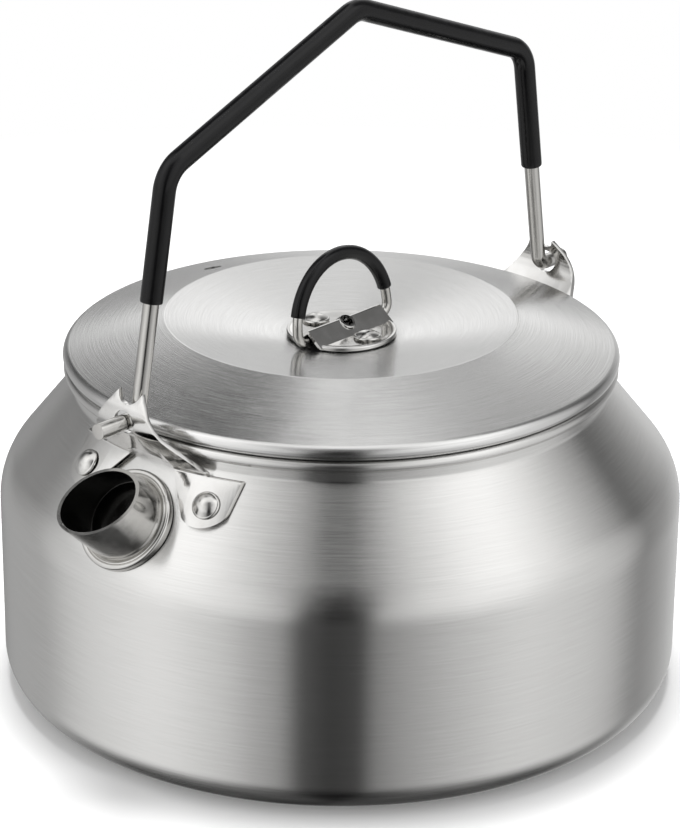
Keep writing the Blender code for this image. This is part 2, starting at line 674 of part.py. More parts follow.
def add_wire(name, path, radius, material, parent, wall=0.0):
    """A round wire along a path in the XZ plane, or a tube with a wall."""
    curve = bpy.data.curves.new(name, "CURVE")
    curve.dimensions = "3D"
    curve.bevel_depth = radius
    curve.bevel_resolution = 3
    curve.use_fill_caps = wall == 0.0
    spline = curve.splines.new("POLY")
    spline.points.add(len(path) - 1)
    for point, place in zip(spline.points, path):
        point.co = (place.x, 0.0, place.y, 1.0)
    wire = add_object(name, curve, material, parent)
    if wall > 0.0:
        solid = wire.modifiers.new("wall", "SOLIDIFY")
        solid.thickness = wall
        solid.offset = -1.0
    return wire


def flipped(path):
    """A path seen in a mirror across the middle, so that it runs the other way."""
    return [Vector((-p.x, p.y)) for p in reversed(path)]


def leg_place(rise, shoulder_rise):
    """A point on a straight leg of the bail, both rises counted from the hinge line."""
    return Vector((BAIL_FOOT - BAIL_LEG_SLANT * rise / shoulder_rise, rise))


def make_bail():
    """The bail, upright, with its parent empty on the hinge line through both ears."""
    pivot = add_empty("bail_pivot", (0.0, BAIL_OFFSET, pivot_height()))
    pivot.rotation_euler.x = -BAIL_LEAN
    path = rounded([
        (BAIL_TIP, 0.0, 0.0),
        (BAIL_FOOT, 0.0, BAIL_FOOT_BEND),
        (BAIL_SHOULDER, BAIL_FRONT_SHOULDER_RISE, BAIL_SHOULDER_BEND),
        (0.0, BAIL_PEAK_RISE, BAIL_PEAK_BEND),
        (-BAIL_SHOULDER, BAIL_REAR_SHOULDER_RISE, BAIL_SHOULDER_BEND),
        (-BAIL_FOOT, 0.0, BAIL_FOOT_BEND),
        (-BAIL_TIP, 0.0, 0.0),
    ], FINE_ARC_STEP)
    add_wire("bail_wire", path, BAIL_WIRE_RADIUS, bright_steel(), pivot)

    front_end = leg_place(BAIL_FRONT_SLEEVE_RISE, BAIL_FRONT_SHOULDER_RISE)
    rear_end = leg_place(BAIL_REAR_SLEEVE_RISE, BAIL_REAR_SHOULDER_RISE)
    rear_end.x = -rear_end.x
    covered = [p for p in path if p.y > max(front_end.y, rear_end.y)]
    add_wire("bail_sleeve", [front_end] + covered + [rear_end], BAIL_SLEEVE_RADIUS, black_plastic(), pivot,
             BAIL_SLEEVE_RADIUS - BAIL_WIRE_RADIUS - GAP)


def make_loop():
    """The lid handle's wire loop, leaning a little, with its parent empty on the tunnel's axis."""
    pivot = add_empty("loop_pivot", (0.0, TUNNEL_OFFSET, TUNNEL_HEIGHT))
    pivot.rotation_euler.x = LOOP_LEAN
    inner = LOOP_RADIUS - LOOP_FOOT_BEND
    foot = arc((inner, LOOP_FOOT_BEND), LOOP_FOOT_BEND, -math.pi / 2.0, 0.0, LOOP_ARC_STEP)
    bow = arc((0.0, LOOP_FOOT_BEND), LOOP_RADIUS, 0.0, math.pi, LOOP_ARC_STEP)
    start = [Vector((LOOP_WIRE_END, 0.0))] + foot
    add_wire("lid_handle_wire", start + bow[1:-1] + flipped(start), LOOP_WIRE_RADIUS, bright_steel(), pivot)

    sleeve = arc((0.0, LOOP_FOOT_BEND), LOOP_RADIUS, LOOP_SLEEVE_ANGLE, math.pi - LOOP_SLEEVE_ANGLE,
                 LOOP_ARC_STEP)
    add_wire("lid_handle_sleeve", sleeve, LOOP_SLEEVE_RADIUS, black_plastic(), pivot,
             LOOP_SLEEVE_RADIUS - LOOP_WIRE_RADIUS - GAP)


def main():
    for old in list(bpy.data.objects):
        bpy.data.objects.remove(old, do_unlink=True)
    make_body()
    make_spout()
    make_ferrule()
    for end, turn in ear_turns().items():
        make_ear(f"{end}_ear", turn)
    make_ear_rivets()
    make_lid()
    make_skirt()
    make_plate()
    make_plate_rivets()
    make_bail()
    make_loop()


main()
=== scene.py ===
"""Looks of the camp kettle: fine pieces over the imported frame, their finishes, the light and the camera.

Metres, +Z up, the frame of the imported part. The bail's hinge line runs along X and the spout is at +X.
"""
import logging
import math
from collections.abc import Sequence
from dataclasses import dataclass
from enum import Enum
from functools import partial

import bpy
from mathutils import Matrix, Vector

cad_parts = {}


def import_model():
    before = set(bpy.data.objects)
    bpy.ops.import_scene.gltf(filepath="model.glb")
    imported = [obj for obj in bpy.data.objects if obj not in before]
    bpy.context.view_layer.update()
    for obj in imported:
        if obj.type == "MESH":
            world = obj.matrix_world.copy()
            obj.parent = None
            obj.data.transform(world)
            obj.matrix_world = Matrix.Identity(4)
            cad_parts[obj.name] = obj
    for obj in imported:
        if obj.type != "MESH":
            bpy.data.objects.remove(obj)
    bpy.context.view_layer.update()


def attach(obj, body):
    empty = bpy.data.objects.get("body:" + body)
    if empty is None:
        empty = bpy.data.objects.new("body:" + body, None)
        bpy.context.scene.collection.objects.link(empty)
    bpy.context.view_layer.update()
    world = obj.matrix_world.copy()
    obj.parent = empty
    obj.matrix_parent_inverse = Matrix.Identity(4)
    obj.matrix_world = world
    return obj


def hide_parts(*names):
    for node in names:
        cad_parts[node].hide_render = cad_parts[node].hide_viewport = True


LOG = logging.getLogger("kettle")
SIDES = {"right": -1, "left": 1}

# Metres: the gap between neighbours, a sleeve's slack on its wire, the start of a line, points that are one
GAP = 0.0003
SLEEVE_SLACK = 0.00005
SEED_SIZE = 0.001
MERGE_DISTANCE = 1e-7

# Degrees: edges sharper than the first two are softened, faces that meet at less than the others blend
SHEET_SHARP = 60.0
PLATE_SHARP = 50.0
PIECE_BLEND = 35.0
RIVET_BLEND = 45.0
PLATE_BLEND = 16.0

Spot = tuple[float, float]
Corner = tuple[float, float, float]
Stops = tuple[tuple[int, float], ...]


class Spin(Enum):
    """How much of a circle a profile is spun round."""

    FULL = math.tau
    EAR = math.radians(48.0)


class Turn(Enum):
    """The largest angle between two points of an arc, from the long arcs to the tiny ones."""

    LONG = math.radians(4.0)
    PLAIN = math.radians(5.0)
    NOTCH = math.radians(6.0)
    FOLD = math.radians(10.0)
    BRIM = math.radians(12.0)
    STEP = math.radians(15.0)
    BEAD = math.radians(16.0)
    TINY = math.radians(20.0)


class Join(Enum):
    """What a Boolean does with its tool."""

    CUT = "DIFFERENCE"
    TRIM = "INTERSECT"
    ADD = "UNION"


class Effect(Enum):
    """The surface effects that the finishes share."""

    SPUN_GRAIN = "spun_grain"
    HANDLING_MARKS = "handling_marks"


def select_only(obj: bpy.types.Object) -> None:
    """Make one object the only selected one, and the active one.

    Args:
        obj: The object.
    """
    bpy.ops.object.select_all(action="DESELECT")
    obj.select_set(True)
    bpy.context.view_layer.objects.active = obj


def arc(center: Sequence[float], radius: float, start: float, end: float, turn: Turn) -> list[Vector]:
    """Give points along an arc in a plane.

    Args:
        center: The arc's centre.
        radius: Its radius.
        start: The angle where it starts.
        end: The angle where it ends.
        turn: The largest angle between two points.

    Returns:
        The points, both ends included.
    """
    count = max(2, math.ceil(abs(end - start) / turn.value))
    angles = [start + (end - start) * i / count for i in range(count + 1)]
    return [Vector(center[:2]) + Vector((radius * math.cos(a), radius * math.sin(a))) for a in angles]


def rounded(corners: Sequence[Corner], turn: Turn = Turn.PLAIN) -> list[Vector]:
    """Draw a line through corners, each rounded with an arc.

    Args:
        corners: Each corner's x, z and radius.
        turn: The largest angle between two points of an arc.

    Returns:
        The points of the line.
    """
    points: list[Vector] = []
    for i, (x, z, radius) in enumerate(corners):
        corner = Vector((x, z))
        if radius <= 0.0 or i in (0, len(corners) - 1):
            points.append(corner)
            continue
        back = (Vector(corners[i - 1][:2]) - corner).normalized()
        ahead = (Vector(corners[i + 1][:2]) - corner).normalized()
        half = back.angle(ahead) / 2.0
        center = corner + (back + ahead).normalized() * radius / math.sin(half)
        first = corner + back * radius / math.tan(half) - center
        last = corner + ahead * radius / math.tan(half) - center
        start = math.atan2(first.y, first.x)
        sweep = (math.atan2(last.y, last.x) - start + math.pi) % math.tau - math.pi
        points += arc(center, radius, start, start + sweep, turn)
    return points


def shifted(corners: Sequence[Corner], distance: float) -> list[Corner]:
    """Move a line of corners to its left and change each radius to suit.

    Args:
        corners: Each corner's x, z and radius.
        distance: How far to the left the line goes.

    Returns:
        The corners of the moved line.
    """
    moved: list[Corner] = []
    last = len(corners) - 1
    for i, (x, z, radius) in enumerate(corners):
        here = Vector((x, z))
        normals: list[Vector] = []
        if i > 0:
            along = (here - Vector(corners[i - 1][:2])).normalized()
            normals.append(Vector((-along.y, along.x)))
        if i < last:
            along = (Vector(corners[i + 1][:2]) - here).normalized()
            normals.append(Vector((-along.y, along.x)))
        middle = sum(normals, Vector((0.0, 0.0))).normalized()
        spot = here + middle * distance / middle.dot(normals[0])
        left_turn = len(normals) == 2 and normals[0].cross(normals[1]) > 0.0
        moved.append((spot.x, spot.y, max(0.0, radius + (-distance if left_turn else distance))))
    return moved


def traced(name: str, points: Sequence[Corner], closed: bool) -> bpy.types.Object:
    """Extrude one vertex from point to point and leave the line in edit mode, all selected.

    Args:
        name: The new object's name.
        points: The line's points.
        closed: Whether an edge joins its last point to its first.

    Returns:
        The object, in edit mode.
    """
    bpy.ops.object.select_all(action="DESELECT")
    bpy.ops.mesh.primitive_plane_add(size=SEED_SIZE, location=(0.0, 0.0, 0.0))
    made = bpy.context.active_object
    made.name = name
    bpy.ops.object.mode_set(mode="EDIT")
    bpy.ops.mesh.merge(type="CENTER")
    bpy.ops.transform.translate(value=points[0])
    for here, ahead in zip(points, points[1:]):
        move = tuple(b - a for a, b in zip(here, ahead))
        bpy.ops.mesh.extrude_region_move(TRANSFORM_OT_translate={"value": move})
    if closed:
        bpy.ops.object.mode_set(mode="OBJECT")
        for vertex in made.data.vertices:
            vertex.select = vertex.index in (0, len(points) - 1)
        bpy.ops.object.mode_set(mode="EDIT")
        bpy.ops.mesh.edge_face_add()
    bpy.ops.mesh.select_all(action="SELECT")
    return made


def turned_out() -> None:
    """Point all faces of the mesh in edit mode outwards and leave edit mode."""
    bpy.ops.mesh.select_all(action="SELECT")
    bpy.ops.mesh.normals_make_consistent(inside=False)
    bpy.ops.object.mode_set(mode="OBJECT")


def spun(name: str, profile: Sequence[Vector], steps: int, closed: bool = False,
         spin: Spin = Spin.FULL) -> bpy.types.Object:
    """Spin a profile in the XZ plane about Z.

    Args:
        name: The new object's name.
        profile: The profile's points, x from the axis and y up.
        steps: How many steps the spin takes.
        closed: Whether the profile is a closed ring.
        spin: How far round it goes, centred on +X where it is a sector.

    Returns:
        The spun object, with its faces pointing out.
    """
    made = traced(name, [(p.x, 0.0, p.y) for p in profile], closed)
    bpy.ops.mesh.spin(steps=steps, angle=spin.value, center=(0.0, 0.0, 0.0), axis=(0.0, 0.0, 1.0))
    bpy.ops.mesh.select_all(action="SELECT")
    bpy.ops.mesh.remove_doubles(threshold=MERGE_DISTANCE)
    if spin is not Spin.FULL:
        bpy.ops.mesh.select_all(action="DESELECT")
        bpy.ops.mesh.select_non_manifold()
        bpy.ops.mesh.edge_face_add()
    turned_out()
    if spin is not Spin.FULL:
        side = sum((v.co.y for v in made.data.vertices), 0.0)
        place(made, Matrix.Rotation(-math.copysign(spin.value / 2.0, side), 4, "Z"))
    return made


def drawn(name: str, outline: Sequence[Spot], start: float, end: float) -> bpy.types.Object:
    """Extrude an outline in the YZ plane along X.

    Args:
        name: The new object's name.
        outline: The outline's points, (y, z).
        start: Where along X it starts.
        end: Where along X it ends.

    Returns:
        The solid prism.
    """
    made = traced(name, [(start, y, z) for y, z in outline], True)
    bpy.ops.mesh.edge_face_add()
    bpy.ops.mesh.extrude_region_move(TRANSFORM_OT_translate={"value": (end - start, 0.0, 0.0)})
    turned_out()
    return made


def drill(obj: bpy.types.Object, frame: Matrix, radius: float, span: Spot, steps: int = 48) -> None:
    """Cut a round hole in an object.

    Args:
        obj: The object.
        frame: The hole's place, with Z along the hole.
        radius: The hole's radius.
        span: Where along Z it starts and ends.
        steps: How many facets it has.
    """
    start, end = span
    corners = [Vector((0.0, start)), Vector((radius, start)), Vector((radius, end)), Vector((0.0, end))]
    combine(obj, place(spun("drill", corners, steps), frame))


def drawn_wire(name: str, path: Sequence[Vector], radius: float, facets: int = 8,
               capped: bool = True) -> bpy.types.Object:
    """Run a round section along a path in the XZ plane, as a curve made into a mesh.

    Args:
        name: The new object's name.
        path: The path's points, x and z.
        radius: The section's radius.
        facets: The curve's bevel resolution.
        capped: Whether the ends are closed.

    Returns:
        The mesh object.
    """
    bpy.ops.object.select_all(action="DESELECT")
    bpy.ops.curve.primitive_nurbs_path_add(location=(0.0, 0.0, 0.0))
    made = bpy.context.active_object
    made.name = name
    curve = made.data
    curve.splines.clear()
    spline = curve.splines.new("POLY")
    spline.points.add(len(path) - 1)
    for point, here in zip(spline.points, path):
        point.co = (here.x, 0.0, here.y, 1.0)
        point.radius = 1.0
    curve.bevel_depth = radius
    curve.bevel_resolution = facets
    curve.use_fill_caps = capped
    bpy.ops.object.convert(target="MESH")
    made = bpy.context.active_object
    bpy.ops.object.mode_set(mode="EDIT")
    bpy.ops.mesh.select_all(action="SELECT")
    bpy.ops.mesh.remove_doubles(threshold=MERGE_DISTANCE)
    turned_out()
    return made


def sleeve_on(name: str, path: Sequence[Vector], wire: float, radius: float, facets: int,
              edge: float) -> bpy.types.Object:
    """Make a sleeve with open ends round a wire.

    Args:
        name: The new object's name.
        path: The path's points, x and z.
        wire: The wire's radius.
        radius: The sleeve's radius.
        facets: The curve's bevel resolution.
        edge: The width of the sleeve's soft edges.

    Returns:
        The sleeve.
    """
    made = drawn_wire(name, path, radius, facets, capped=False)
    select_only(made)
    modifier = made.modifiers.new("wall", "SOLIDIFY")
    modifier.thickness = radius - wire - SLEEVE_SLACK
    modifier.offset = -1.0
    bpy.ops.object.modifier_apply(modifier=modifier.name)
    soften(made, edge)
    return made


def place(obj: bpy.types.Object, matrix: Matrix) -> bpy.types.Object:
    """Move a mesh to its place and leave the object at the origin.

    Args:
        obj: The object.
        matrix: Where it goes.

    Returns:
        The same object.
    """
    select_only(obj)
    obj.matrix_world = matrix
    bpy.ops.object.transform_apply(location=True, rotation=True, scale=True)
    return obj


def combine(obj: bpy.types.Object, tool: bpy.types.Object, join: Join = Join.CUT) -> None:
    """Combine an object with a tool, which is then removed.

    Args:
        obj: The object.
        tool: The solid to cut, trim or add.
        join: What is done with it.
    """
    select_only(obj)
    modifier = obj.modifiers.new("combine", "BOOLEAN")
    modifier.operation = join.value
    modifier.solver = "EXACT"
    modifier.object = tool
    bpy.ops.object.modifier_apply(modifier=modifier.name)
    bpy.data.objects.remove(tool, do_unlink=True)


def soften(obj: bpy.types.Object, width: float, segments: int = 2, sharp: float = SHEET_SHARP) -> None:
    """Bevel an object's sharp edges.

    Args:
        obj: The object.
        width: The bevel's width.
        segments: Its segments.
        sharp: The smallest angle, in degrees, that counts as sharp.
    """
    select_only(obj)
    modifier = obj.modifiers.new("soften", "BEVEL")
    modifier.width = width
    modifier.segments = segments
    modifier.limit_method = "ANGLE"
    modifier.angle_limit = math.radians(sharp)
    bpy.ops.object.modifier_apply(modifier=modifier.name)


def copied(obj: bpy.types.Object, name: str) -> bpy.types.Object:
    """Copy an object with its own mesh.

    Args:
        obj: The object.
        name: The copy's name.

    Returns:
        The copy.
    """
    select_only(obj)
    bpy.ops.object.duplicate(linked=False)
    made = bpy.context.active_object
    made.name = name
    return made


def leaning(origin: Sequence[float], lean: float) -> Matrix:
    """Give a frame whose Z leans from upright towards +X.

    Args:
        origin: Where the frame is.
        lean: The angle from upright.

    Returns:
        The frame.
    """
    z_axis = Vector((math.sin(lean), 0.0, math.cos(lean))).normalized()
    y_axis = Vector((0.0, 1.0, 0.0))
    x_axis = y_axis.cross(z_axis)
    return Matrix.Translation(origin) @ Matrix((x_axis, y_axis, z_axis)).transposed().to_4x4()


def feed(tree: bpy.types.NodeTree, socket: bpy.types.NodeSocket, value: object) -> None:
    """Feed an input with another node's socket, or set it to a plain value.

    Args:
        tree: The tree that holds both.
        socket: The input.
        value: The socket or the plain value.
    """
    if isinstance(value, bpy.types.NodeSocket):
        tree.links.new(value, socket)
    else:
        socket.default_value = value


def add_node(tree: bpy.types.NodeTree, kind: str, inputs: dict[str | int, object]) -> bpy.types.Node:
    """Add a shader node and feed its inputs.

    Args:
        tree: The tree to add it to.
        kind: The node's type, without the word Shader.
        inputs: Each input's name or place, and the socket or value for it.

    Returns:
        The node.
    """
    node = tree.nodes.new(f"ShaderNode{kind}")
    for label, value in inputs.items():
        feed(tree, node.inputs[label], value)
    return node


def math_node(tree: bpy.types.NodeTree, operation: str, *values: object) -> bpy.types.NodeSocket:
    """Add a math node.

    Args:
        tree: The tree to add it to.
        operation: The math operation.
        *values: Sockets or numbers for its inputs.

    Returns:
        The node's output.
    """
    node = add_node(tree, "Math", dict(enumerate(values)))
    node.operation = operation
    return node.outputs[0]


def noise(tree: bpy.types.NodeTree, vector: bpy.types.NodeSocket, scale: object, detail: float,
          roughness: float = 0.5) -> bpy.types.NodeSocket:
    """Add a noise texture.

    Args:
        tree: The tree to add it to.
        vector: The place that it reads.
        scale: Its scale, a socket or a number.
        detail: Its detail.
        roughness: Its roughness.

    Returns:
        The value that it gives.
    """
    inputs = {"Vector": vector, "Scale": scale, "Detail": detail, "Roughness": roughness}
    return add_node(tree, "TexNoise", inputs).outputs["Fac"]


def ranged(tree: bpy.types.NodeTree, value: bpy.types.NodeSocket, start: float, end: float,
           low: float = 0.0, high: float = 1.0) -> bpy.types.NodeSocket:
    """Map a value from one range to another and clamp it there.

    Args:
        tree: The tree to add the node to.
        value: The value.
        start: The value that gives the lowest result.
        end: The value that gives the highest result.
        low: The lowest result.
        high: The highest result.

    Returns:
        The result.
    """
    inputs = {"Value": value, "From Min": start, "From Max": end, "To Min": low, "To Max": high}
    return add_node(tree, "MapRange", inputs).outputs["Result"]


def blended(tree: bpy.types.NodeTree, share: bpy.types.NodeSocket, first: object,
            second: object) -> bpy.types.NodeSocket:
    """Blend two colours.

    Args:
        tree: The tree to add the node to.
        share: The second colour's share.
        first: The first colour, or its socket.
        second: The second colour, or its socket.

    Returns:
        The blended colour.
    """
    node = tree.nodes.new("ShaderNodeMix")
    node.data_type = "RGBA"
    colors = [socket for socket in node.inputs if socket.type == "RGBA"]
    for socket, value in zip((node.inputs["Factor"], *colors), (share, first, second)):
        feed(tree, socket, value)
    return next(socket for socket in node.outputs if socket.type == "RGBA")


def new_group(effect: Effect, inputs: dict[str, object]) -> bpy.types.NodeTree:
    """Start an effect's node group, with outputs for its height and its mask.

    Args:
        effect: The effect.
        inputs: Each input's name and default, a number or a vector.

    Returns:
        The group, with its input and output nodes.
    """
    group = bpy.data.node_groups.new(effect.value, "ShaderNodeTree")
    for label, default in inputs.items():
        kind = "NodeSocketVector" if isinstance(default, tuple) else "NodeSocketFloat"
        socket = group.interface.new_socket(label, in_out="INPUT", socket_type=kind)
        socket.default_value = default
    for label in ("Height", "Mask"):
        group.interface.new_socket(label, in_out="OUTPUT", socket_type="NodeSocketFloat")
    group.nodes.new("NodeGroupInput")
    group.nodes.new("NodeGroupOutput")
    return group


def build_spun_grain() -> None:
    """Build the grain that spinning or brushing round Z leaves: fine rings with clouds over them."""
    axis_radius = 0.0001
    ring_share = 0.75
    ring_detail = 3.0
    ring_roughness = 0.7
    cloud_detail = 4.0
    group = new_group(Effect.SPUN_GRAIN, {"Fineness": 1.0, "Length": 1.0, "Patch": 1.0})
    entry, leave = group.nodes["Group Input"].outputs, group.nodes["Group Output"].inputs
    spot = add_node(group, "TexCoord", {}).outputs["Object"]
    x, y, z = add_node(group, "SeparateXYZ", {0: spot}).outputs
    work = partial(math_node, group)
    radius = work("SQRT", work("ADD", work("MULTIPLY", x, x), work("MULTIPLY", y, y)))
    safe = work("MAXIMUM", radius, axis_radius)
    around = [work("MULTIPLY", work("DIVIDE", side, safe), entry["Length"]) for side in (x, y)]
    across = work("MULTIPLY", work("SUBTRACT", z, radius), entry["Fineness"])
    joined = add_node(group, "CombineXYZ", dict(enumerate([*around, across])))
    rings = noise(group, joined.outputs[0], 1.0, ring_detail, ring_roughness)
    clouds = noise(group, spot, entry["Patch"], cloud_detail)
    feed(group, leave["Height"], rings)
    rest = work("MULTIPLY", clouds, 1.0 - ring_share)
    feed(group, leave["Mask"], work("MULTIPLY_ADD", rings, ring_share, rest))


def build_handling_marks() -> None:
    """Build the uneven handling marks of polished metal and soft vinyl."""
    details = {"Height": 2.0, "Mask": 5.0}
    group = new_group(Effect.HANDLING_MARKS, {"Scale": 1.0, "Stretch": (1.0, 1.0, 1.0)})
    entry, leave = group.nodes["Group Input"].outputs, group.nodes["Group Output"].inputs
    spot = add_node(group, "TexCoord", {}).outputs["Object"]
    stretched = add_node(group, "VectorMath", {0: spot, 1: entry["Stretch"]})
    stretched.operation = "MULTIPLY"
    for label, detail in details.items():
        feed(group, leave[label], noise(group, stretched.outputs[0], entry["Scale"], detail))


@dataclass(frozen=True)
class Finish:
    """One surface finish, made from a shared effect and plain numbers."""

    name: str
    effect: Effect
    dark: tuple[float, float, float]
    light: tuple[float, float, float]
    roughness: tuple[float, float]
    bump: float
    effect_values: dict[str, object]
    bump_distance: float = 0.0001
    metallic: float = 1.0
    specular: float = 0.5
    anisotropy: float = 0.0
    grain_turn: float = 0.25
    mask_range: tuple[float, float] = (0.3, 0.7)

    def material(self) -> bpy.types.Material:
        """Build the finish's material, or give the one built before.

        Returns:
            The material.
        """
        name = f"{self.name}_look"
        made = bpy.data.materials.get(name)
        if made is not None:
            return made
        made = bpy.data.materials.new(name)
        made.use_nodes = True
        tree = made.node_tree
        effect = tree.nodes.new("ShaderNodeGroup")
        effect.node_tree = bpy.data.node_groups[self.effect.value]
        for label, value in self.effect_values.items():
            effect.inputs[label].default_value = value
        mask = effect.outputs["Mask"]
        relief = {"Strength": self.bump, "Distance": self.bump_distance, "Height": effect.outputs["Height"]}
        looks = {
            "Metallic": self.metallic,
            "Specular IOR Level": self.specular,
            "Base Color": blended(tree, mask, (*self.dark, 1.0), (*self.light, 1.0)),
            "Roughness": ranged(tree, mask, *self.mask_range, *self.roughness),
            "Normal": add_node(tree, "Bump", relief).outputs["Normal"],
        }
        if self.anisotropy > 0.0:
            tangent = add_node(tree, "Tangent", {})
            tangent.direction_type = "RADIAL"
            tangent.axis = "Z"
            looks["Anisotropic"] = self.anisotropy
            looks["Anisotropic Rotation"] = self.grain_turn
            looks["Tangent"] = tangent.outputs[0]
        for label, value in looks.items():
            feed(tree, tree.nodes["Principled BSDF"].inputs[label], value)
        return made

    def dress(self, obj: bpy.types.Object) -> None:
        """Give an object this finish all over."""
        obj.data.materials.clear()
        obj.data.materials.append(self.material())


BODY_STEEL = Finish(
    "body_steel", Effect.SPUN_GRAIN, (0.58, 0.575, 0.56), (0.80, 0.795, 0.785), (0.17, 0.25), 0.50,
    {"Fineness": 4200.0, "Length": 5.0, "Patch": 45.0}, 0.00003, anisotropy=0.95)
LID_STEEL = Finish(
    "lid_steel", Effect.SPUN_GRAIN, (0.56, 0.555, 0.545), (0.82, 0.82, 0.815), (0.15, 0.21), 1.0,
    {"Fineness": 3400.0, "Length": 3.0, "Patch": 40.0}, 0.00003, anisotropy=0.95)
SPOUT_STEEL = Finish(
    "spout_steel", Effect.HANDLING_MARKS, (0.52, 0.51, 0.49), (0.66, 0.655, 0.64), (0.12, 0.24), 0.05,
    {"Scale": 400.0})
# Near-black painted shade for the faces inside the spout's tube
SPOUT_INSIDE_SHADE = Finish(
    "spout_inside_shade", Effect.HANDLING_MARKS, (0.006, 0.006, 0.005), (0.022, 0.021, 0.02), (0.36, 0.50), 0.05,
    {"Scale": 400.0})
FITTING_STEEL = Finish(
    "fitting_steel", Effect.HANDLING_MARKS, (0.60, 0.59, 0.57), (0.78, 0.775, 0.765), (0.08, 0.20), 0.06,
    {"Scale": 260.0})
RIVET_STEEL = Finish(
    "rivet_steel", Effect.HANDLING_MARKS, (0.55, 0.54, 0.52), (0.72, 0.715, 0.70), (0.12, 0.24), 0.08,
    {"Scale": 700.0})
WIRE_STEEL = Finish(
    "wire_steel", Effect.HANDLING_MARKS, (0.44, 0.43, 0.41), (0.62, 0.61, 0.59), (0.10, 0.20), 0.08,
    {"Scale": 900.0, "Stretch": (1.0, 1.0, 0.08)})
BLACK_SLEEVE = Finish(
    "black_sleeve", Effect.HANDLING_MARKS, (0.002, 0.002, 0.0022), (0.006, 0.006, 0.0065), (0.08, 0.18), 0.45,
    {"Scale": 170.0, "Stretch": (1.0, 1.0, 0.6)}, 0.0004, metallic=0.0, specular=0.24)


def ready(obj: bpy.types.Object, finish: Finish, body: str, node: str, blend: float = PIECE_BLEND) -> None:
    """Finish a piece: smooth it, dress it, tie it to its body and hide the frame node that it stands for.

    Args:
        obj: The piece.
        finish: Its finish.
        body: The body that it rides on.
        node: The frame node that it stands for.
        blend: The angle, in degrees, up to which faces blend into each other.
    """
    select_only(obj)
    bpy.ops.object.shade_smooth_by_angle(angle=math.radians(blend))
    finish.dress(obj)
    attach(obj, body)
    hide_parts(node)
    LOG.info("%s: %d faces", obj.name, len(obj.data.polygons))


@dataclass
class Shell:
    """The drawn body and the places on its sloping shoulder."""

    sheet: float = 0.0007
    radius: float = 0.08249
    base_corner: float = 0.0085
    wall_height: float = 0.0524
    shoulder_round: float = 0.0170
    slope: float = math.radians(51.0)
    neck_radius: float = 0.0643
    neck_round: float = 0.0015
    bead_height: float = 0.07905
    bead_radius: float = 0.0014
    bead_end: float = math.radians(-100.0)
    bore_span: Spot = (-0.006, 0.006)
    steps: int = 240

    def height(self, distance: float) -> float:
        """Give the shoulder's height at a distance from the axis."""
        return self.wall_height + (self.radius - distance) * math.tan(self.slope)

    def frame_at(self, turn: float, distance: float) -> Matrix:
        """Give a frame on the shoulder, Z out of it, turned round from the X axis."""
        return Matrix.Rotation(turn, 4, "Z") @ leaning((distance, 0.0, self.height(distance)), self.slope)

    def outline(self) -> list[Corner]:
        """Give the outer surface, from the middle of the base to the bead.

        Returns:
            The section's corners.
        """
        return [
            (0.0, 0.0, 0.0),
            (self.radius, 0.0, self.base_corner),
            (self.radius, self.wall_height, self.shoulder_round),
            (self.neck_radius, self.height(self.neck_radius), self.neck_round),
            (self.neck_radius, self.bead_height, 0.0),
        ]

    def solid(self, name: str, outset: float) -> bpy.types.Object:
        """Make the space inside the outer surface, grown by an outset, for cutting."""
        outline = rounded(shifted(self.outline(), -outset), Turn.LONG)
        return spun(name, outline + [Vector((0.0, outline[-1].y))], self.steps)

    def build(self, spout_frame: Matrix, bore: float) -> None:
        """Make the shell, open at its mouth and at its spout hole.

        Args:
            spout_frame: The spout's place.
            bore: The radius of the spout's hole.
        """
        inside = rounded(shifted(self.outline(), self.sheet))
        outside = rounded(self.outline())
        center = (self.neck_radius - self.sheet + self.bead_radius, self.bead_height)
        over = arc(center, self.bead_radius, math.pi, self.bead_end, Turn.BRIM)
        back = arc(center, self.bead_radius - self.sheet, self.bead_end, math.pi, Turn.BEAD)
        shell = spun("body_shell", inside[:-1] + over + back + outside[-2::-1], self.steps)
        drill(shell, spout_frame, bore, self.bore_span)
        ready(shell, BODY_STEEL, "kettle", "kettle_body")


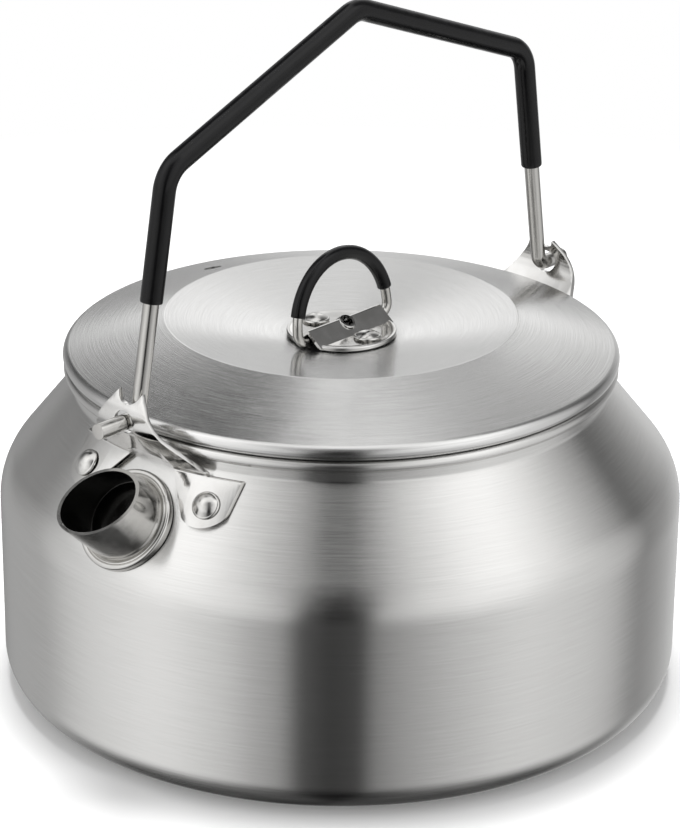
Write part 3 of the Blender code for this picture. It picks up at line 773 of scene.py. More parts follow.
@dataclass
class Spout:
    """The open spout: a stepped flange on the shoulder and a short tapered tube with a slanted mouth."""

    shell: Shell
    turn: float
    distance: float = 0.0746
    sheet: float = 0.0008
    flange_radius: float = 0.01205
    flange_height: float = 0.0013
    flange_depth: float = 0.0030
    flange_round: float = 0.0006
    lip_width: float = 0.0011
    lip_round: float = 0.0003
    groove_depth: float = 0.0005
    groove_round: float = 0.0002
    root_radius: float = 0.0100
    root_height: float = 0.0024
    root_flare: float = 0.0004
    mouth_radius: float = 0.0089
    mouth_spare: float = 0.002
    length: float = 0.01203
    slant: float = math.radians(24.0)
    slant_reach: float = 0.03
    spigot_radius: float = 0.0086
    spigot_depth: float = 0.0035
    spigot_span: Spot = (-0.02, 0.02)
    step_radius: float = 0.0090
    step_width: float = 0.00025
    step_height: float = 0.0010
    edge: float = 0.00015
    ferrule_wall: float = 0.0023
    ferrule_setback: float = 0.0004
    ferrule_edge: float = 0.0002
    inward_limit: float = -0.5
    steps: int = 112

    def frame(self) -> Matrix:
        """Give the spout's frame, Z out of the shoulder."""
        return self.shell.frame_at(self.turn, self.distance)

    def profile(self) -> list[Vector]:
        """Give the section before the slanted cut, up its outside and down its bore.

        Returns:
            The section's points.
        """
        top = self.length + self.mouth_radius * math.tan(self.slant) + self.mouth_spare
        floor = self.flange_height - self.groove_depth
        groove = self.flange_radius - self.lip_width
        bore = self.spigot_radius - self.sheet
        outside = rounded([
            (self.spigot_radius, -self.spigot_depth, 0.0),
            (self.spigot_radius, -self.flange_depth, 0.0),
            (self.flange_radius, -self.flange_depth, 0.0),
            (self.flange_radius, self.flange_height, self.flange_round),
            (groove, self.flange_height, self.lip_round),
            (groove - self.groove_round, floor, self.groove_round),
            (self.root_radius + self.root_flare, floor, self.root_flare),
            (self.root_radius, self.root_height, self.root_flare),
            (self.mouth_radius, top, 0.0),
        ], Turn.STEP)
        return outside + [
            Vector((self.mouth_radius - self.sheet, top)),
            Vector((self.root_radius - self.sheet, self.root_height)),
            Vector((self.step_radius, self.step_height)),
            Vector((self.step_radius - self.step_width, self.step_height)),
            Vector((bore, -self.step_height)),
            Vector((bore, -self.spigot_depth)),
        ]

    def build(self) -> None:
        """Make the spout, fitted to the shoulder and cut at a slant."""
        spout = place(spun("spout_piece", self.profile(), self.steps, closed=True), self.frame())
        seat = self.shell.solid("seat", GAP)
        drill(seat, self.frame(), self.spigot_radius + GAP / 2.0, self.spigot_span, self.steps)
        combine(spout, seat)
        reach = self.slant_reach
        slab = drawn("slab", [(-reach, 0.0), (reach, 0.0), (reach, reach), (-reach, reach)], -reach, reach)
        lean = Matrix.Translation((0.0, 0.0, self.length)) @ Matrix.Rotation(-self.slant, 4, "Y")
        combine(spout, place(slab, self.frame() @ lean))
        soften(spout, self.edge)
        ready(spout, SPOUT_STEEL, "kettle", "spout_tube")
        # The faces inside the tube get a near-black finish: painted shade
        self.paint_inside_shade(spout)

    def build_ferrule(self) -> None:
        """Make the ring on the spigot that holds the spout from inside the wall."""
        low = self.ferrule_setback - self.spigot_depth
        bore = self.spigot_radius + GAP
        rim = bore + self.ferrule_wall
        section = [Vector((bore, low)), Vector((rim, low)), Vector((rim, 0.0)), Vector((bore, 0.0))]
        ferrule = place(spun("ferrule_piece", section, self.steps, closed=True), self.frame())
        combine(ferrule, self.shell.solid("cavity", -self.shell.sheet - GAP), Join.TRIM)
        soften(ferrule, self.ferrule_edge)
        ready(ferrule, SPOUT_STEEL, "kettle", "spout_ferrule")

    def paint_inside_shade(self, spout: bpy.types.Object) -> None:
        """Give the faces that look towards the spout's axis a near-black finish: painted shade for the dark
        inside of the tube.

        Args:
            spout: The finished spout.
        """
        spout.data.materials.append(SPOUT_INSIDE_SHADE.material())
        into = self.frame().inverted()
        turn = into.to_3x3()
        for face in spout.data.polygons:
            middle = into @ face.center
            normal = turn @ face.normal
            reach = math.hypot(middle.x, middle.y)
            away = normal.x * middle.x + normal.y * middle.y
            if reach < self.root_radius - self.sheet / 2.0 and away < self.inward_limit * reach:
                face.material_index = 1


@dataclass
class Rivet:
    """A rivet with a stepped, domed head and a small formed tail."""

    head: float
    rise: float
    shank: float
    grip_top: float
    grip_bottom: float
    tail_height: float = 0.0010
    tail_round: float = 0.0003
    tail_share: float = 1.55
    tail_taper: float = 0.85
    brim_share: float = 0.13
    brim_taper: float = 0.98
    brim_height: float = 0.9
    brim_round: float = 0.0005
    step_share: float = 0.28
    steps: int = 48

    def model(self, name: str) -> bpy.types.Object:
        """Make one rivet along Z, its head up.

        Args:
            name: The new object's name.

        Returns:
            The rivet.
        """
        brim = self.head * self.brim_share
        step = self.rise * self.step_share
        bulge = ((self.head - brim)**2 + (self.rise - step)**2) / (2.0 * (self.rise - step))
        edge = math.acos(min(1.0, (self.head - brim) / bulge))
        top = self.grip_top
        dome = arc((0.0, top + self.rise - bulge), bulge, math.pi / 2.0, edge, Turn.LONG)
        brim_line = rounded([
            (dome[-1].x, dome[-1].y, 0.0),
            (self.head * self.brim_taper, top + step * self.brim_height, self.brim_round),
            (self.head, top, 0.0),
        ], Turn.BRIM)
        tail = self.shank * self.tail_share
        tail_line = rounded([
            (self.shank, top, 0.0),
            (self.shank, self.grip_bottom, 0.0),
            (tail, self.grip_bottom, 0.0),
            (tail * self.tail_taper, self.grip_bottom - self.tail_height, self.tail_round),
            (0.0, self.grip_bottom - self.tail_height, 0.0),
        ], Turn.TINY)
        return spun(name, dome + brim_line[1:] + tail_line, self.steps)


@dataclass
class Ear:
    """A folded ear with a hole, a notch and two riveted feet."""

    shell: Shell
    sheet: float = 0.0010
    edge: float = 0.00018
    fold_distance: float = 0.0665
    fold_round: float = 0.0006
    knee_distance: float = 0.0767
    knee_round: float = 0.0067
    top_distance: float = 0.0728
    top_height: float = 0.0927
    top_spare: float = 0.001
    top_half_width: float = 0.0034
    waist_half_width: float = 0.0082
    waist_round: float = 0.006
    base_half_width: float = 0.0155
    base_rise: float = 0.0008
    base_drop: float = 0.0001
    notch_depth: float = 0.0025
    arch_rise: float = 0.0033
    arch_drop: float = 0.0002
    arch_degrees: tuple[int, ...] = (20, 30, 40, 50, 60, 70, 80)
    foot_inner: float = 0.0069
    foot_outer: float = 0.0237
    foot_length: float = 0.010
    foot_round: float = 0.0064
    foot_below: float = 0.0006
    foot_start: float = math.radians(20.0)
    foot_end: float = math.radians(-130.0)
    rivet_side: float = 0.0182
    rivet_drop: float = 0.0051
    rivet_head: float = 0.0033
    rivet_rise: float = 0.0017
    rivet_shank: float = 0.0016
    pivot_height: float = 0.0862
    hole: float = 0.0028
    hole_span: Spot = (0.060, 0.090)
    hole_steps: int = 40
    blank_span: Spot = (0.050, 0.095)
    steps: int = 72

    def section(self) -> list[Corner]:
        """Give the outer face, from the top of the web to the end of the foot.

        Returns:
            The section's corners.
        """
        lift = (GAP + self.sheet) / math.cos(self.shell.slope)
        end = self.fold_distance + self.foot_length
        top = self.top_height + self.top_spare
        lean = (self.knee_distance - self.top_distance) / (self.top_height - self.pivot_height)
        return [
            (self.top_distance - lean * (top - self.top_height), top, 0.0),
            (self.knee_distance, self.pivot_height, self.knee_round),
            (self.fold_distance, self.shell.height(self.fold_distance) + lift, self.fold_round),
            (end, self.shell.height(end) + lift, 0.0),
        ]

    def outline(self) -> list[Spot]:
        """Give the ear's outline seen from outside, (y, z).

        Returns:
            The outline's points.
        """
        fold = self.section()[2][1]
        notch = (self.top_half_width**2 + self.notch_depth**2) / (2.0 * self.notch_depth)
        reach = math.asin(self.top_half_width / notch)
        half = arc((0.0, self.top_height - self.notch_depth + notch), notch, -math.pi / 2.0,
                   reach - math.pi / 2.0, Turn.NOTCH)
        side = rounded([
            (self.top_half_width, self.top_height, 0.0),
            (self.waist_half_width, self.pivot_height, self.waist_round),
            (self.base_half_width, fold + self.base_rise, 0.0),
            (self.base_half_width, fold - self.base_drop, 0.0),
        ])
        half += side[1:]
        half.append(Vector((self.foot_outer, fold - self.base_drop)))
        for point in arc((self.rivet_side, -self.rivet_drop - self.foot_below), self.foot_round,
                         self.foot_start, self.foot_end, Turn.NOTCH):
            half.append(Vector((min(point.x, self.foot_outer), fold + point.y * math.sin(self.shell.slope))))
        half.append(Vector((self.foot_inner, fold - self.arch_drop)))
        half += [Vector((self.foot_inner * math.cos(a), fold + self.arch_rise * math.sin(a)))
                 for a in map(math.radians, self.arch_degrees)]
        half.append(Vector((0.0, fold + self.arch_rise)))
        points = half + [Vector((-p.x, p.y)) for p in half[-2:0:-1]]
        return [(p.x, p.y) for p in points]

    def rivet_frame(self, side: int) -> Matrix:
        """Give the place of one rivet, for an ear at +X."""
        distance = self.fold_distance + self.rivet_drop * math.cos(self.shell.slope)
        return self.shell.frame_at(side * math.asin(self.rivet_side / distance), distance)

    def model(self, name: str) -> bpy.types.Object:
        """Make one ear at +X.

        Args:
            name: The new object's name.

        Returns:
            The ear.
        """
        outer = self.section()
        inner = shifted(outer, -self.sheet)
        ear = spun(name, rounded(outer) + rounded(inner)[::-1], self.steps, closed=True, spin=Spin.EAR)
        combine(ear, drawn("outline", self.outline(), *self.blank_span), Join.TRIM)
        outward = leaning((0.0, 0.0, self.pivot_height), math.pi / 2.0)
        drill(ear, outward, self.hole, self.hole_span, self.hole_steps)
        soften(ear, self.edge)
        return ear

    def build(self, ends: dict[str, float]) -> None:
        """Make both ears and their rivets.

        Args:
            ends: Each end's name and how far round its ear is.
        """
        pattern = self.model("ear_pattern")
        rivet = Rivet(self.rivet_head, self.rivet_rise, self.rivet_shank, 2.0 * GAP + self.sheet,
                      -self.shell.sheet - GAP).model("rivet_pattern")
        for end, turn in ends.items():
            spin = Matrix.Rotation(turn, 4, "Z")
            ear = place(copied(pattern, f"{end}_ear_piece"), spin)
            ready(ear, FITTING_STEEL, "kettle", f"{end}_ear")
            for label, side in SIDES.items():
                made = place(copied(rivet, f"{end}_rivet_{label}"), spin @ self.rivet_frame(side))
                ready(made, RIVET_STEEL, "kettle", f"{end}_ear_rivet_{label}", RIVET_BLEND)
        bpy.data.objects.remove(pattern, do_unlink=True)
        bpy.data.objects.remove(rivet, do_unlink=True)


@dataclass
class Lid:
    """The pressed lid with its dished middle, ridge, sloping flange, turned rim, vent and skirt."""

    shell: Shell
    sheet: float = 0.0006
    radius: float = 0.06655
    seat_radius: float = 0.0142
    seat_height: float = 0.0859
    seat_round: float = 0.0200
    ridge_radius: float = 0.0422
    ridge_height: float = 0.0909
    ridge_round: float = 0.0012
    slope: float = math.radians(16.3)
    rim_round: float = 0.0021
    hem_round: float = 0.0014
    hem_width: float = 0.0024
    vent_radius: float = 0.0022
    vent_span: Spot = (-0.003, 0.003)
    vent_distance: float = 0.0503
    vent_turn: float = math.radians(-97.5)
    skirt_clearance: float = 0.0008
    skirt_flange: float = 0.0050
    skirt_depth: float = 0.0095
    skirt_bend: float = 0.0009
    skirt_edge: float = 0.00015
    steps: int = 240

    def height(self, distance: float) -> float:
        """Give the flange's height at a distance from the axis."""
        return self.ridge_height - (distance - self.ridge_radius) * math.tan(self.slope)

    def outline(self) -> list[Corner]:
        """Give the top surface, from the middle to the turned-in hem.

        Returns:
            The section's corners.
        """
        hem = self.shell.bead_height + self.shell.bead_radius + GAP
        return [
            (0.0, self.seat_height, 0.0),
            (self.seat_radius, self.seat_height, self.seat_round),
            (self.ridge_radius, self.ridge_height, self.ridge_round),
            (self.radius, self.height(self.radius), self.rim_round),
            (self.radius, hem, self.hem_round),
            (self.radius - self.hem_width, hem, 0.0),
        ]

    def build(self) -> None:
        """Make the lid with its vent hole."""
        top = rounded(self.outline())
        under = rounded(shifted(self.outline(), -self.sheet))
        lid = spun("lid_piece", under + top[::-1], self.steps)
        spot = leaning((self.vent_distance, 0.0, self.height(self.vent_distance)), self.slope)
        drill(lid, Matrix.Rotation(self.vent_turn, 4, "Z") @ spot, self.vent_radius, self.vent_span)
        ready(lid, LID_STEEL, "lid", "lid_shell")

    def build_skirt(self) -> None:
        """Make the ring under the lid that drops into the mouth."""
        outer = self.shell.neck_radius - self.shell.sheet - self.skirt_clearance
        inner = outer - self.skirt_flange
        drop = self.sheet / math.cos(self.slope) + GAP
        outline = [
            (inner, self.height(inner) - drop, 0.0),
            (outer, self.height(outer) - drop, self.skirt_bend),
            (outer, self.height(outer) - drop - self.skirt_depth, 0.0),
        ]
        section = rounded(outline) + rounded(shifted(outline, -self.sheet))[::-1]
        skirt = spun("skirt_piece", section, self.steps, closed=True)
        soften(skirt, self.skirt_edge)
        ready(skirt, LID_STEEL, "lid", "lid_skirt")


@dataclass
class LidHandle:
    """The riveted plate with its tunnel, and the wire loop that folds in it."""

    lid: Lid
    plate_radius: float = 0.0132
    plate_sheet: float = 0.0010
    plate_edge: float = 0.0002
    plate_steps: int = 144
    dish_depth: float = 0.0002
    dish_rim: float = 0.0018
    dish_round: float = 0.001
    brim_width: float = 0.0008
    brim_round: float = 0.0006
    rim_round: float = 0.0004
    foot_round: float = 0.0002
    rivet_distance: float = 0.0083
    rivet_head: float = 0.0033
    rivet_rise: float = 0.0013
    rivet_shank: float = 0.0015
    tunnel_offset: float = 0.0007
    tunnel_height: float = 0.0874
    tunnel_half_length: float = 0.0127
    tunnel_sheet: float = 0.0008
    tunnel_clearance: float = 0.0003
    tunnel_slope: float = math.radians(38.0)
    slot_reach: float = 0.02
    slot_below: float = 0.002
    ridge_round: float = 0.0007
    pierce_radius: float = 0.0014
    pierce_angle: float = math.radians(30.0)
    pierce_span: Spot = (0.0, 0.006)
    pierce_steps: int = 32
    lip_foot: float = 0.0016
    lip_width: float = 0.0007
    lip_rise: float = 0.0003
    lip_steps: int = 40
    wire_radius: float = 0.00120
    wire_edge: float = 0.0002
    sleeve_radius: float = 0.00175
    sleeve_edge: float = 0.00018
    loop_radius: float = 0.0157
    foot_bend: float = 0.0027
    wire_end: float = 0.0030
    facets: int = 8
    sleeve_angle: float = math.radians(14.0)
    lean: float = math.radians(6.0)

    def axis_frame(self, turn: float) -> Matrix:
        """Give the frame of the wire's axis, turned about it."""
        axis = Matrix.Translation((0.0, self.tunnel_offset, self.tunnel_height))
        return axis @ Matrix.Rotation(turn, 4, "X")

    def tunnel(self, distance: float, low: float, ridge_round: float) -> list[Spot]:
        """Give the folded tunnel's outline, (y, z).

        Args:
            distance: How far its sides are from the wire's axis.
            low: The height of its feet.
            ridge_round: The radius of its ridge.

        Returns:
            The outline's points.
        """
        ridge = self.tunnel_height + distance / math.cos(self.tunnel_slope)
        spread = (ridge - low) / math.tan(self.tunnel_slope)
        line = rounded([
            (self.tunnel_offset + spread, low, 0.0),
            (self.tunnel_offset, ridge, ridge_round),
            (self.tunnel_offset - spread, low, 0.0),
        ], Turn.FOLD)
        return [(p.x, p.y) for p in line]

    def disc(self, low: float, top: float) -> bpy.types.Object:
        """Make the round plate, a little dished inside its brim.

        Args:
            low: The height of its underside.
            top: The height of its brim.

        Returns:
            The plate.
        """
        dish = top - self.dish_depth
        return spun("plate_piece", rounded([
            (0.0, dish, 0.0),
            (self.plate_radius - self.dish_rim, dish, self.dish_round),
            (self.plate_radius - self.brim_width, top, self.brim_round),
            (self.plate_radius, top, self.rim_round),
            (self.plate_radius, low, self.foot_round),
            (0.0, low, 0.0),
        ], Turn.STEP), self.plate_steps)

    def build_plate(self) -> None:
        """Make the plate with its tunnel and pierced middle, and its rivets."""
        bore = self.wire_radius + self.tunnel_clearance
        low = self.lid.seat_height + GAP
        plate = self.disc(low, low + self.plate_sheet)
        fold = self.tunnel(bore + self.tunnel_sheet, low + self.plate_sheet / 2.0, self.ridge_round)
        combine(plate, drawn("ridge", fold, -self.tunnel_half_length, self.tunnel_half_length), Join.ADD)
        tilt = self.axis_frame(-self.pierce_angle)
        top = bore + self.tunnel_sheet + self.lip_rise
        lip = spun("lip", rounded([
            (0.0, 0.0, 0.0),
            (self.pierce_radius + self.lip_foot, 0.0, 0.0),
            (self.pierce_radius + self.lip_width, top, self.lip_rise),
            (0.0, top, 0.0),
        ], Turn.TINY), self.lip_steps)
        combine(plate, place(lip, tilt), Join.ADD)
        slot = self.tunnel(bore, low - self.slot_below, 0.0)
        combine(plate, drawn("slot", slot, -self.slot_reach, self.slot_reach))
        drill(plate, tilt, self.pierce_radius, self.pierce_span, self.pierce_steps)
        soften(plate, self.plate_edge, sharp=PLATE_SHARP)
        ready(plate, FITTING_STEEL, "lid", "lid_handle_plate", PLATE_BLEND)
        rivet = Rivet(self.rivet_head, self.rivet_rise, self.rivet_shank, GAP + self.plate_sheet + GAP,
                      -self.lid.sheet - GAP).model("plate_pattern")
        for label, side in SIDES.items():
            spot = Matrix.Translation((0.0, side * self.rivet_distance, self.lid.seat_height))
            made = place(copied(rivet, f"plate_rivet_piece_{label}"), spot)
            ready(made, RIVET_STEEL, "lid", f"plate_rivet_{label}", RIVET_BLEND)
        bpy.data.objects.remove(rivet, do_unlink=True)

    def build_loop(self) -> None:
        """Make the loop's wire and its sleeve."""
        pivot = self.axis_frame(self.lean)
        bend = self.foot_bend
        foot = arc((self.loop_radius - bend, bend), bend, -math.pi / 2.0, 0.0, Turn.PLAIN)
        bow = arc((0.0, bend), self.loop_radius, 0.0, math.pi, Turn.PLAIN)
        start = [Vector((self.wire_end, 0.0))] + foot
        path = start + bow[1:-1] + [Vector((-p.x, p.y)) for p in reversed(start)]
        wire = place(drawn_wire("loop_wire", path, self.wire_radius, self.facets), pivot)
        soften(wire, self.wire_edge)
        ready(wire, WIRE_STEEL, "lid_handle", "lid_handle_wire")
        path = arc((0.0, bend), self.loop_radius, self.sleeve_angle, math.pi - self.sleeve_angle, Turn.PLAIN)
        sleeve = sleeve_on("loop_sleeve", path, self.wire_radius, self.sleeve_radius, self.facets,
                           self.sleeve_edge)
        ready(place(sleeve, pivot), BLACK_SLEEVE, "lid_handle", "lid_handle_sleeve")


@dataclass
class Bail:
    """The upright bail: a bent wire in a soft black sleeve."""

    wire_radius: float = 0.00185
    wire_edge: float = 0.0005
    wire_edge_segments: int = 3
    sleeve_radius: float = 0.00260
    sleeve_edge: float = 0.00025
    sleeve_spacing: float = 0.0015
    facets: int = 10
    offset: float = 0.0032
    pivot_height: float = 0.0862
    front_tip: float = 0.0829
    rear_tip: float = 0.0799
    foot: float = 0.0706
    foot_bend: float = 0.0032
    shoulder: float = 0.0611
    front_shoulder: float = 0.1414
    rear_shoulder: float = 0.1443
    shoulder_bend: float = 0.0080
    peak: float = 0.1664
    peak_bend: float = 0.0080
    front_sleeve: float = 0.1122
    rear_sleeve: float = 0.1136
    lean: float = math.radians(0.5)

    def path(self) -> list[Vector]:
        """Give the wire's middle line, heights counted from the hinge line.

        Returns:
            The line's points.
        """
        return rounded([
            (self.front_tip, 0.0, 0.0),
            (self.foot, 0.0, self.foot_bend),
            (self.shoulder, self.front_shoulder - self.pivot_height, self.shoulder_bend),
            (0.0, self.peak - self.pivot_height, self.peak_bend),
            (-self.shoulder, self.rear_shoulder - self.pivot_height, self.shoulder_bend),
            (-self.foot, 0.0, self.foot_bend),
            (-self.rear_tip, 0.0, 0.0),
        ], Turn.LONG)

    def on_leg(self, height: float, shoulder: float) -> Vector:
        """Give a point on the front leg's straight part.

        Args:
            height: The point's height above the ground.
            shoulder: The height of the leg's shoulder above the ground.

        Returns:
            The point, its height counted from the hinge line.
        """
        rise = height - self.pivot_height
        share = rise / (shoulder - self.pivot_height)
        return Vector((self.foot + (self.shoulder - self.foot) * share, rise))

    def build(self) -> None:
        """Make the wire and its sleeve."""
        axis = Matrix.Translation((0.0, self.offset, self.pivot_height))
        pivot = axis @ Matrix.Rotation(-self.lean, 4, "X")
        path = self.path()
        wire = place(drawn_wire("bail_wire_piece", path, self.wire_radius, self.facets), pivot)
        soften(wire, self.wire_edge, self.wire_edge_segments)
        ready(wire, WIRE_STEEL, "bail", "bail_wire")

        front = self.on_leg(self.front_sleeve, self.front_shoulder)
        rear = self.on_leg(self.rear_sleeve, self.rear_shoulder)
        rear.x = -rear.x
        covered = [front] + [p for p in path if p.y > max(front.y, rear.y)] + [rear]
        fine = [covered[0]]
        for here, ahead in zip(covered, covered[1:]):
            count = max(1, math.ceil((ahead - here).length / self.sleeve_spacing))
            fine += [here.lerp(ahead, (i + 1) / count) for i in range(count)]
        sleeve = sleeve_on("bail_sleeve_piece", fine, self.wire_radius, self.sleeve_radius, self.facets,
                           self.sleeve_edge)
        ready(place(sleeve, pivot), BLACK_SLEEVE, "bail", "bail_sleeve")


@dataclass(frozen=True)
class SkyBand:
    """One belt of the sky, and where it takes over from the belt below it.

    It starts to show at the first height and is alone at the second, both of a direction of length one.
    Each stop has its degrees round from the camera, positive to the right, and its grey level.
    """

    start: float
    full: float
    stops: Stops

    def ramp(self, tree: bpy.types.NodeTree, share: bpy.types.NodeSocket) -> bpy.types.NodeSocket:
        """Add the belt's ramp of grey levels round the horizon.

        Args:
            tree: The tree to add it to.
            share: The place round the horizon, as a share of the circle.

        Returns:
            The level's socket.
        """
        node = add_node(tree, "ValToRGB", {0: share})
        elements = node.color_ramp.elements
        while len(elements) < len(self.stops):
            elements.new(0.5)
        for element, (degrees, level) in zip(elements, self.stops):
            element.position = degrees / 360.0 + 0.5
            element.color = (level, level, level, 1.0)
        return node.outputs[0]


# Listed from the floor up: bright stops are soft boxes and dark ones the gaps between them
SKY = (
    SkyBand(-1.0, -1.0, (
        (-180, 0.75), (-176, 0.30), (-166, 0.30), (-150, 0.45), (-134, 0.48), (-115, 0.50), (-101, 0.76),
        (-88, 0.90), (-66, 1.05), (-57, 1.02), (-38, 0.78), (-29, 0.56), (-20, 0.42), (-13, 0.10), (-3, 0.06),
        (7, 0.08), (13, 0.30), (22, 0.43), (40, 0.66), (58, 0.86), (68, 0.90), (91, 0.78), (104, 0.64),
        (119, 0.28), (138, 0.45), (160, 0.70), (176, 0.70), (180, 0.75))),
    SkyBand(-0.16, 0.0, (
        (-180, 0.70), (-177, 0.55), (-171, 0.30), (-160, 0.25), (-145, 0.25), (-126, 0.42), (-116, 0.48),
        (-106, 0.68), (-95, 0.74), (-86, 0.82), (-77, 0.98), (-68, 1.12), (-60, 1.24), (-45, 1.18),
        (-30, 0.98), (-17, 0.72), (-11, 0.10), (-4, 0.01), (4, 0.01), (8, 0.10), (14, 0.66), (23, 0.88),
        (45, 1.17), (60, 1.13), (77, 0.88), (95, 0.74), (106, 0.60), (118, 0.30), (135, 0.35), (160, 0.65),
        (174, 0.35), (180, 0.70))),
    SkyBand(0.12, 0.26, (
        (-180, 0.72), (-177, 1.00), (-174, 1.35), (-169, 1.30), (-165, 0.80), (-160, 0.40), (-152, 0.06),
        (-128, 0.20), (-112, 0.55), (-95, 0.98), (-66, 1.33), (-50, 1.25), (-30, 0.92), (-17, 0.57),
        (-10, 0.18), (-3, 0.04), (3, 0.04), (10, 0.20), (17, 0.62), (30, 0.98), (48, 1.20), (62, 1.27),
        (95, 0.80), (108, 0.50), (118, 0.12), (135, 0.15), (150, 0.40), (163, 0.80), (168, 1.30),
        (174, 1.40), (177, 1.00), (180, 0.72))),
    SkyBand(0.50, 0.72, (
        (-180, 1.00), (-174, 0.85), (-168, 0.05), (-150, 0.01), (-130, 0.50), (-110, 1.10), (-90, 1.40),
        (-70, 1.50), (-56, 1.28), (-42, 0.86), (-29, 0.62), (-17, 0.40), (-6, 0.13), (6, 0.13), (18, 0.42),
        (32, 0.76), (44, 1.00), (56, 1.30), (72, 1.50), (90, 1.40), (103, 0.95), (113, 0.20), (135, 0.15),
        (150, 0.30), (163, 0.60), (172, 0.90), (180, 1.00))),
    SkyBand(0.88, 0.96, ((-180, 1.20), (180, 1.20))),
)


def direction(turn: float, rise: float) -> Vector:
    """Give the direction that is turned from the front and rises above the floor."""
    return Vector((math.sin(turn) * math.cos(rise), -math.cos(turn) * math.cos(rise), math.sin(rise)))


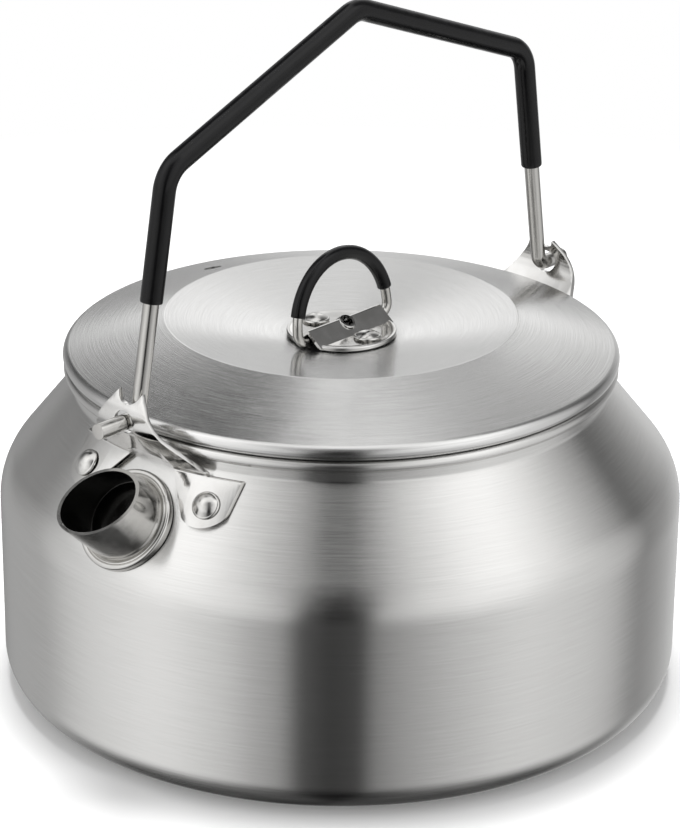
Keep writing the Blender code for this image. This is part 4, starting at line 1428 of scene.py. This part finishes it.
@dataclass
class Studio:
    """The camera, the floor, the lamp and the belts of sky that the metal mirrors."""

    azimuth: float = math.radians(132.4)
    elevation: float = math.radians(22.32)
    distance: float = 0.7497
    target: tuple[float, float, float] = (0.0, 0.0, 0.065)
    target_side: float = -0.0002
    lens: float = 134.8
    sensor: float = 36.0
    near_clip: float = 0.01
    roll: float = math.radians(0.479)
    sky: tuple[SkyBand, ...] = SKY
    down_start: float = -0.82
    down_end: float = -0.60
    down_level: float = 0.10
    floor_radius: float = 6.0
    floor_drop: float = 0.0002
    floor_edges: int = 96
    floor_grey: float = 0.82
    floor_roughness: float = 0.9
    floor_glow: float = 0.04
    white_start: float = 0.20
    white_full: float = 0.45
    lamp_turn: float = math.radians(180.0)
    lamp_rise: float = math.radians(80.0)
    lamp_distance: float = 1.2
    lamp_size: float = 0.55
    lamp_power: float = 19.0

    def back(self) -> Vector:
        """Give the direction from the kettle to the camera."""
        return direction(self.azimuth, self.elevation)

    def add_camera(self) -> None:
        """Put the camera where the photograph was taken from."""
        right = Vector((math.cos(self.azimuth), math.sin(self.azimuth), 0.0))
        bpy.ops.object.camera_add(location=(0.0, 0.0, 0.0))
        camera = bpy.context.active_object
        camera.data.lens = self.lens
        camera.data.sensor_width = self.sensor
        camera.data.clip_start = self.near_clip
        look = (-self.back()).to_track_quat("-Z", "Y").to_matrix().to_4x4()
        spot = Vector(self.target) + right * self.target_side + self.back() * self.distance
        camera.matrix_world = Matrix.Translation(spot) @ look @ Matrix.Rotation(self.roll, 4, "Z")
        bpy.context.scene.camera = camera

    def add_floor(self) -> None:
        """Lay the pale floor, white to the camera outside the kettle's shadow."""
        bpy.ops.mesh.primitive_circle_add(vertices=self.floor_edges, radius=self.floor_radius,
                                          fill_type="NGON", location=(0.0, 0.0, -self.floor_drop))
        floor = bpy.context.active_object
        floor.name = "floor"
        material = bpy.data.materials.new("floor_paper")
        material.use_nodes = True
        tree = material.node_tree
        shader = tree.nodes["Principled BSDF"]
        shader.inputs["Base Color"].default_value = (self.floor_grey, self.floor_grey, self.floor_grey, 1.0)
        shader.inputs["Roughness"].default_value = self.floor_roughness
        shader.inputs["Specular IOR Level"].default_value = 0.0
        path = add_node(tree, "LightPath", {}).outputs
        seen = math_node(tree, "MAXIMUM", path["Is Camera Ray"], path["Is Glossy Ray"])
        glow = add_node(tree, "Emission", {"Strength": math_node(tree, "MULTIPLY", seen, self.floor_glow)})
        both = add_node(tree, "AddShader", {0: shader.outputs[0], 1: glow.outputs[0]})
        reach = add_node(tree, "VectorMath", {0: add_node(tree, "TexCoord", {}).outputs["Object"]})
        reach.operation = "LENGTH"
        far = ranged(tree, reach.outputs["Value"], self.white_start, self.white_full)
        share = math_node(tree, "MULTIPLY", far, path["Is Camera Ray"])
        white = add_node(tree, "Emission", {})
        fade = add_node(tree, "MixShader", {0: share, 1: both.outputs[0], 2: white.outputs[0]})
        feed(tree, tree.nodes["Material Output"].inputs["Surface"], fade.outputs[0])
        floor.data.materials.append(material)
        floor.visible_glossy = False

    def add_lamp(self) -> None:
        """Hang the square soft lamp that casts the kettle's shadow."""
        out = direction(self.azimuth + self.lamp_turn, self.lamp_rise)
        bpy.ops.object.light_add(type="AREA", location=(0.0, 0.0, 0.0))
        lamp = bpy.context.active_object
        lamp.name = "lamp_top"
        lamp.data.shape = "SQUARE"
        lamp.data.size = self.lamp_size
        lamp.data.energy = self.lamp_power
        lamp.visible_glossy = False
        look = (-out).to_track_quat("-Z", "Y").to_matrix().to_4x4()
        lamp.matrix_world = Matrix.Translation(Vector(self.target) + out * self.lamp_distance) @ look

    def add_world(self) -> None:
        """Make the world white to the camera, and soft boxes with dark gaps to the metal."""
        world = bpy.data.worlds.new("studio")
        world.use_nodes = True
        tree = world.node_tree
        work = partial(math_node, tree)
        look = add_node(tree, "TexCoord", {}).outputs["Generated"]
        x, y, z = add_node(tree, "SeparateXYZ", {0: look}).outputs
        turned = work("SUBTRACT", work("ARCTAN2", y, x), math.atan2(self.back().y, self.back().x))
        share = work("MULTIPLY_ADD", work("WRAP", turned, math.pi, -math.pi), 1.0 / math.tau, 0.5)
        level = self.sky[0].ramp(tree, share)
        for band in self.sky[1:]:
            level = blended(tree, ranged(tree, z, band.start, band.full), level, band.ramp(tree, share))
        mirrored = tree.nodes["Background"]
        feed(tree, mirrored.inputs["Color"], level)
        strength = ranged(tree, z, self.down_start, self.down_end, self.down_level)
        feed(tree, mirrored.inputs["Strength"], strength)
        plain = add_node(tree, "Background", {"Color": (1.0, 1.0, 1.0, 1.0)})
        path = add_node(tree, "LightPath", {}).outputs
        clear = work("MAXIMUM", path["Is Camera Ray"], path["Is Transmission Ray"])
        both = add_node(tree, "MixShader", {0: clear, 1: mirrored.outputs[0], 2: plain.outputs[0]})
        feed(tree, tree.nodes["World Output"].inputs["Surface"], both.outputs[0])
        bpy.context.scene.world = world

    def build(self) -> None:
        """Set up the whole studio."""
        bpy.context.scene.view_settings.view_transform = "Standard"
        self.add_world()
        self.add_floor()
        self.add_lamp()
        self.add_camera()


def main() -> None:
    """Build the kettle over its frame, then the studio round it."""
    logging.basicConfig(level=logging.INFO)
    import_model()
    build_spun_grain()
    build_handling_marks()
    shell = Shell()
    bail = Bail()
    ear = Ear(shell)
    turn = math.asin(bail.offset / ear.knee_distance)
    spout = Spout(shell, turn)
    shell.build(spout.frame(), spout.spigot_radius + GAP)
    spout.build()
    spout.build_ferrule()
    ear.build({"front": turn, "rear": math.pi - turn})
    lid = Lid(shell)
    lid.build()
    lid.build_skirt()
    handle = LidHandle(lid)
    handle.build_plate()
    handle.build_loop()
    bail.build()
    Studio().build()


if __name__ == "__main__":
    main()
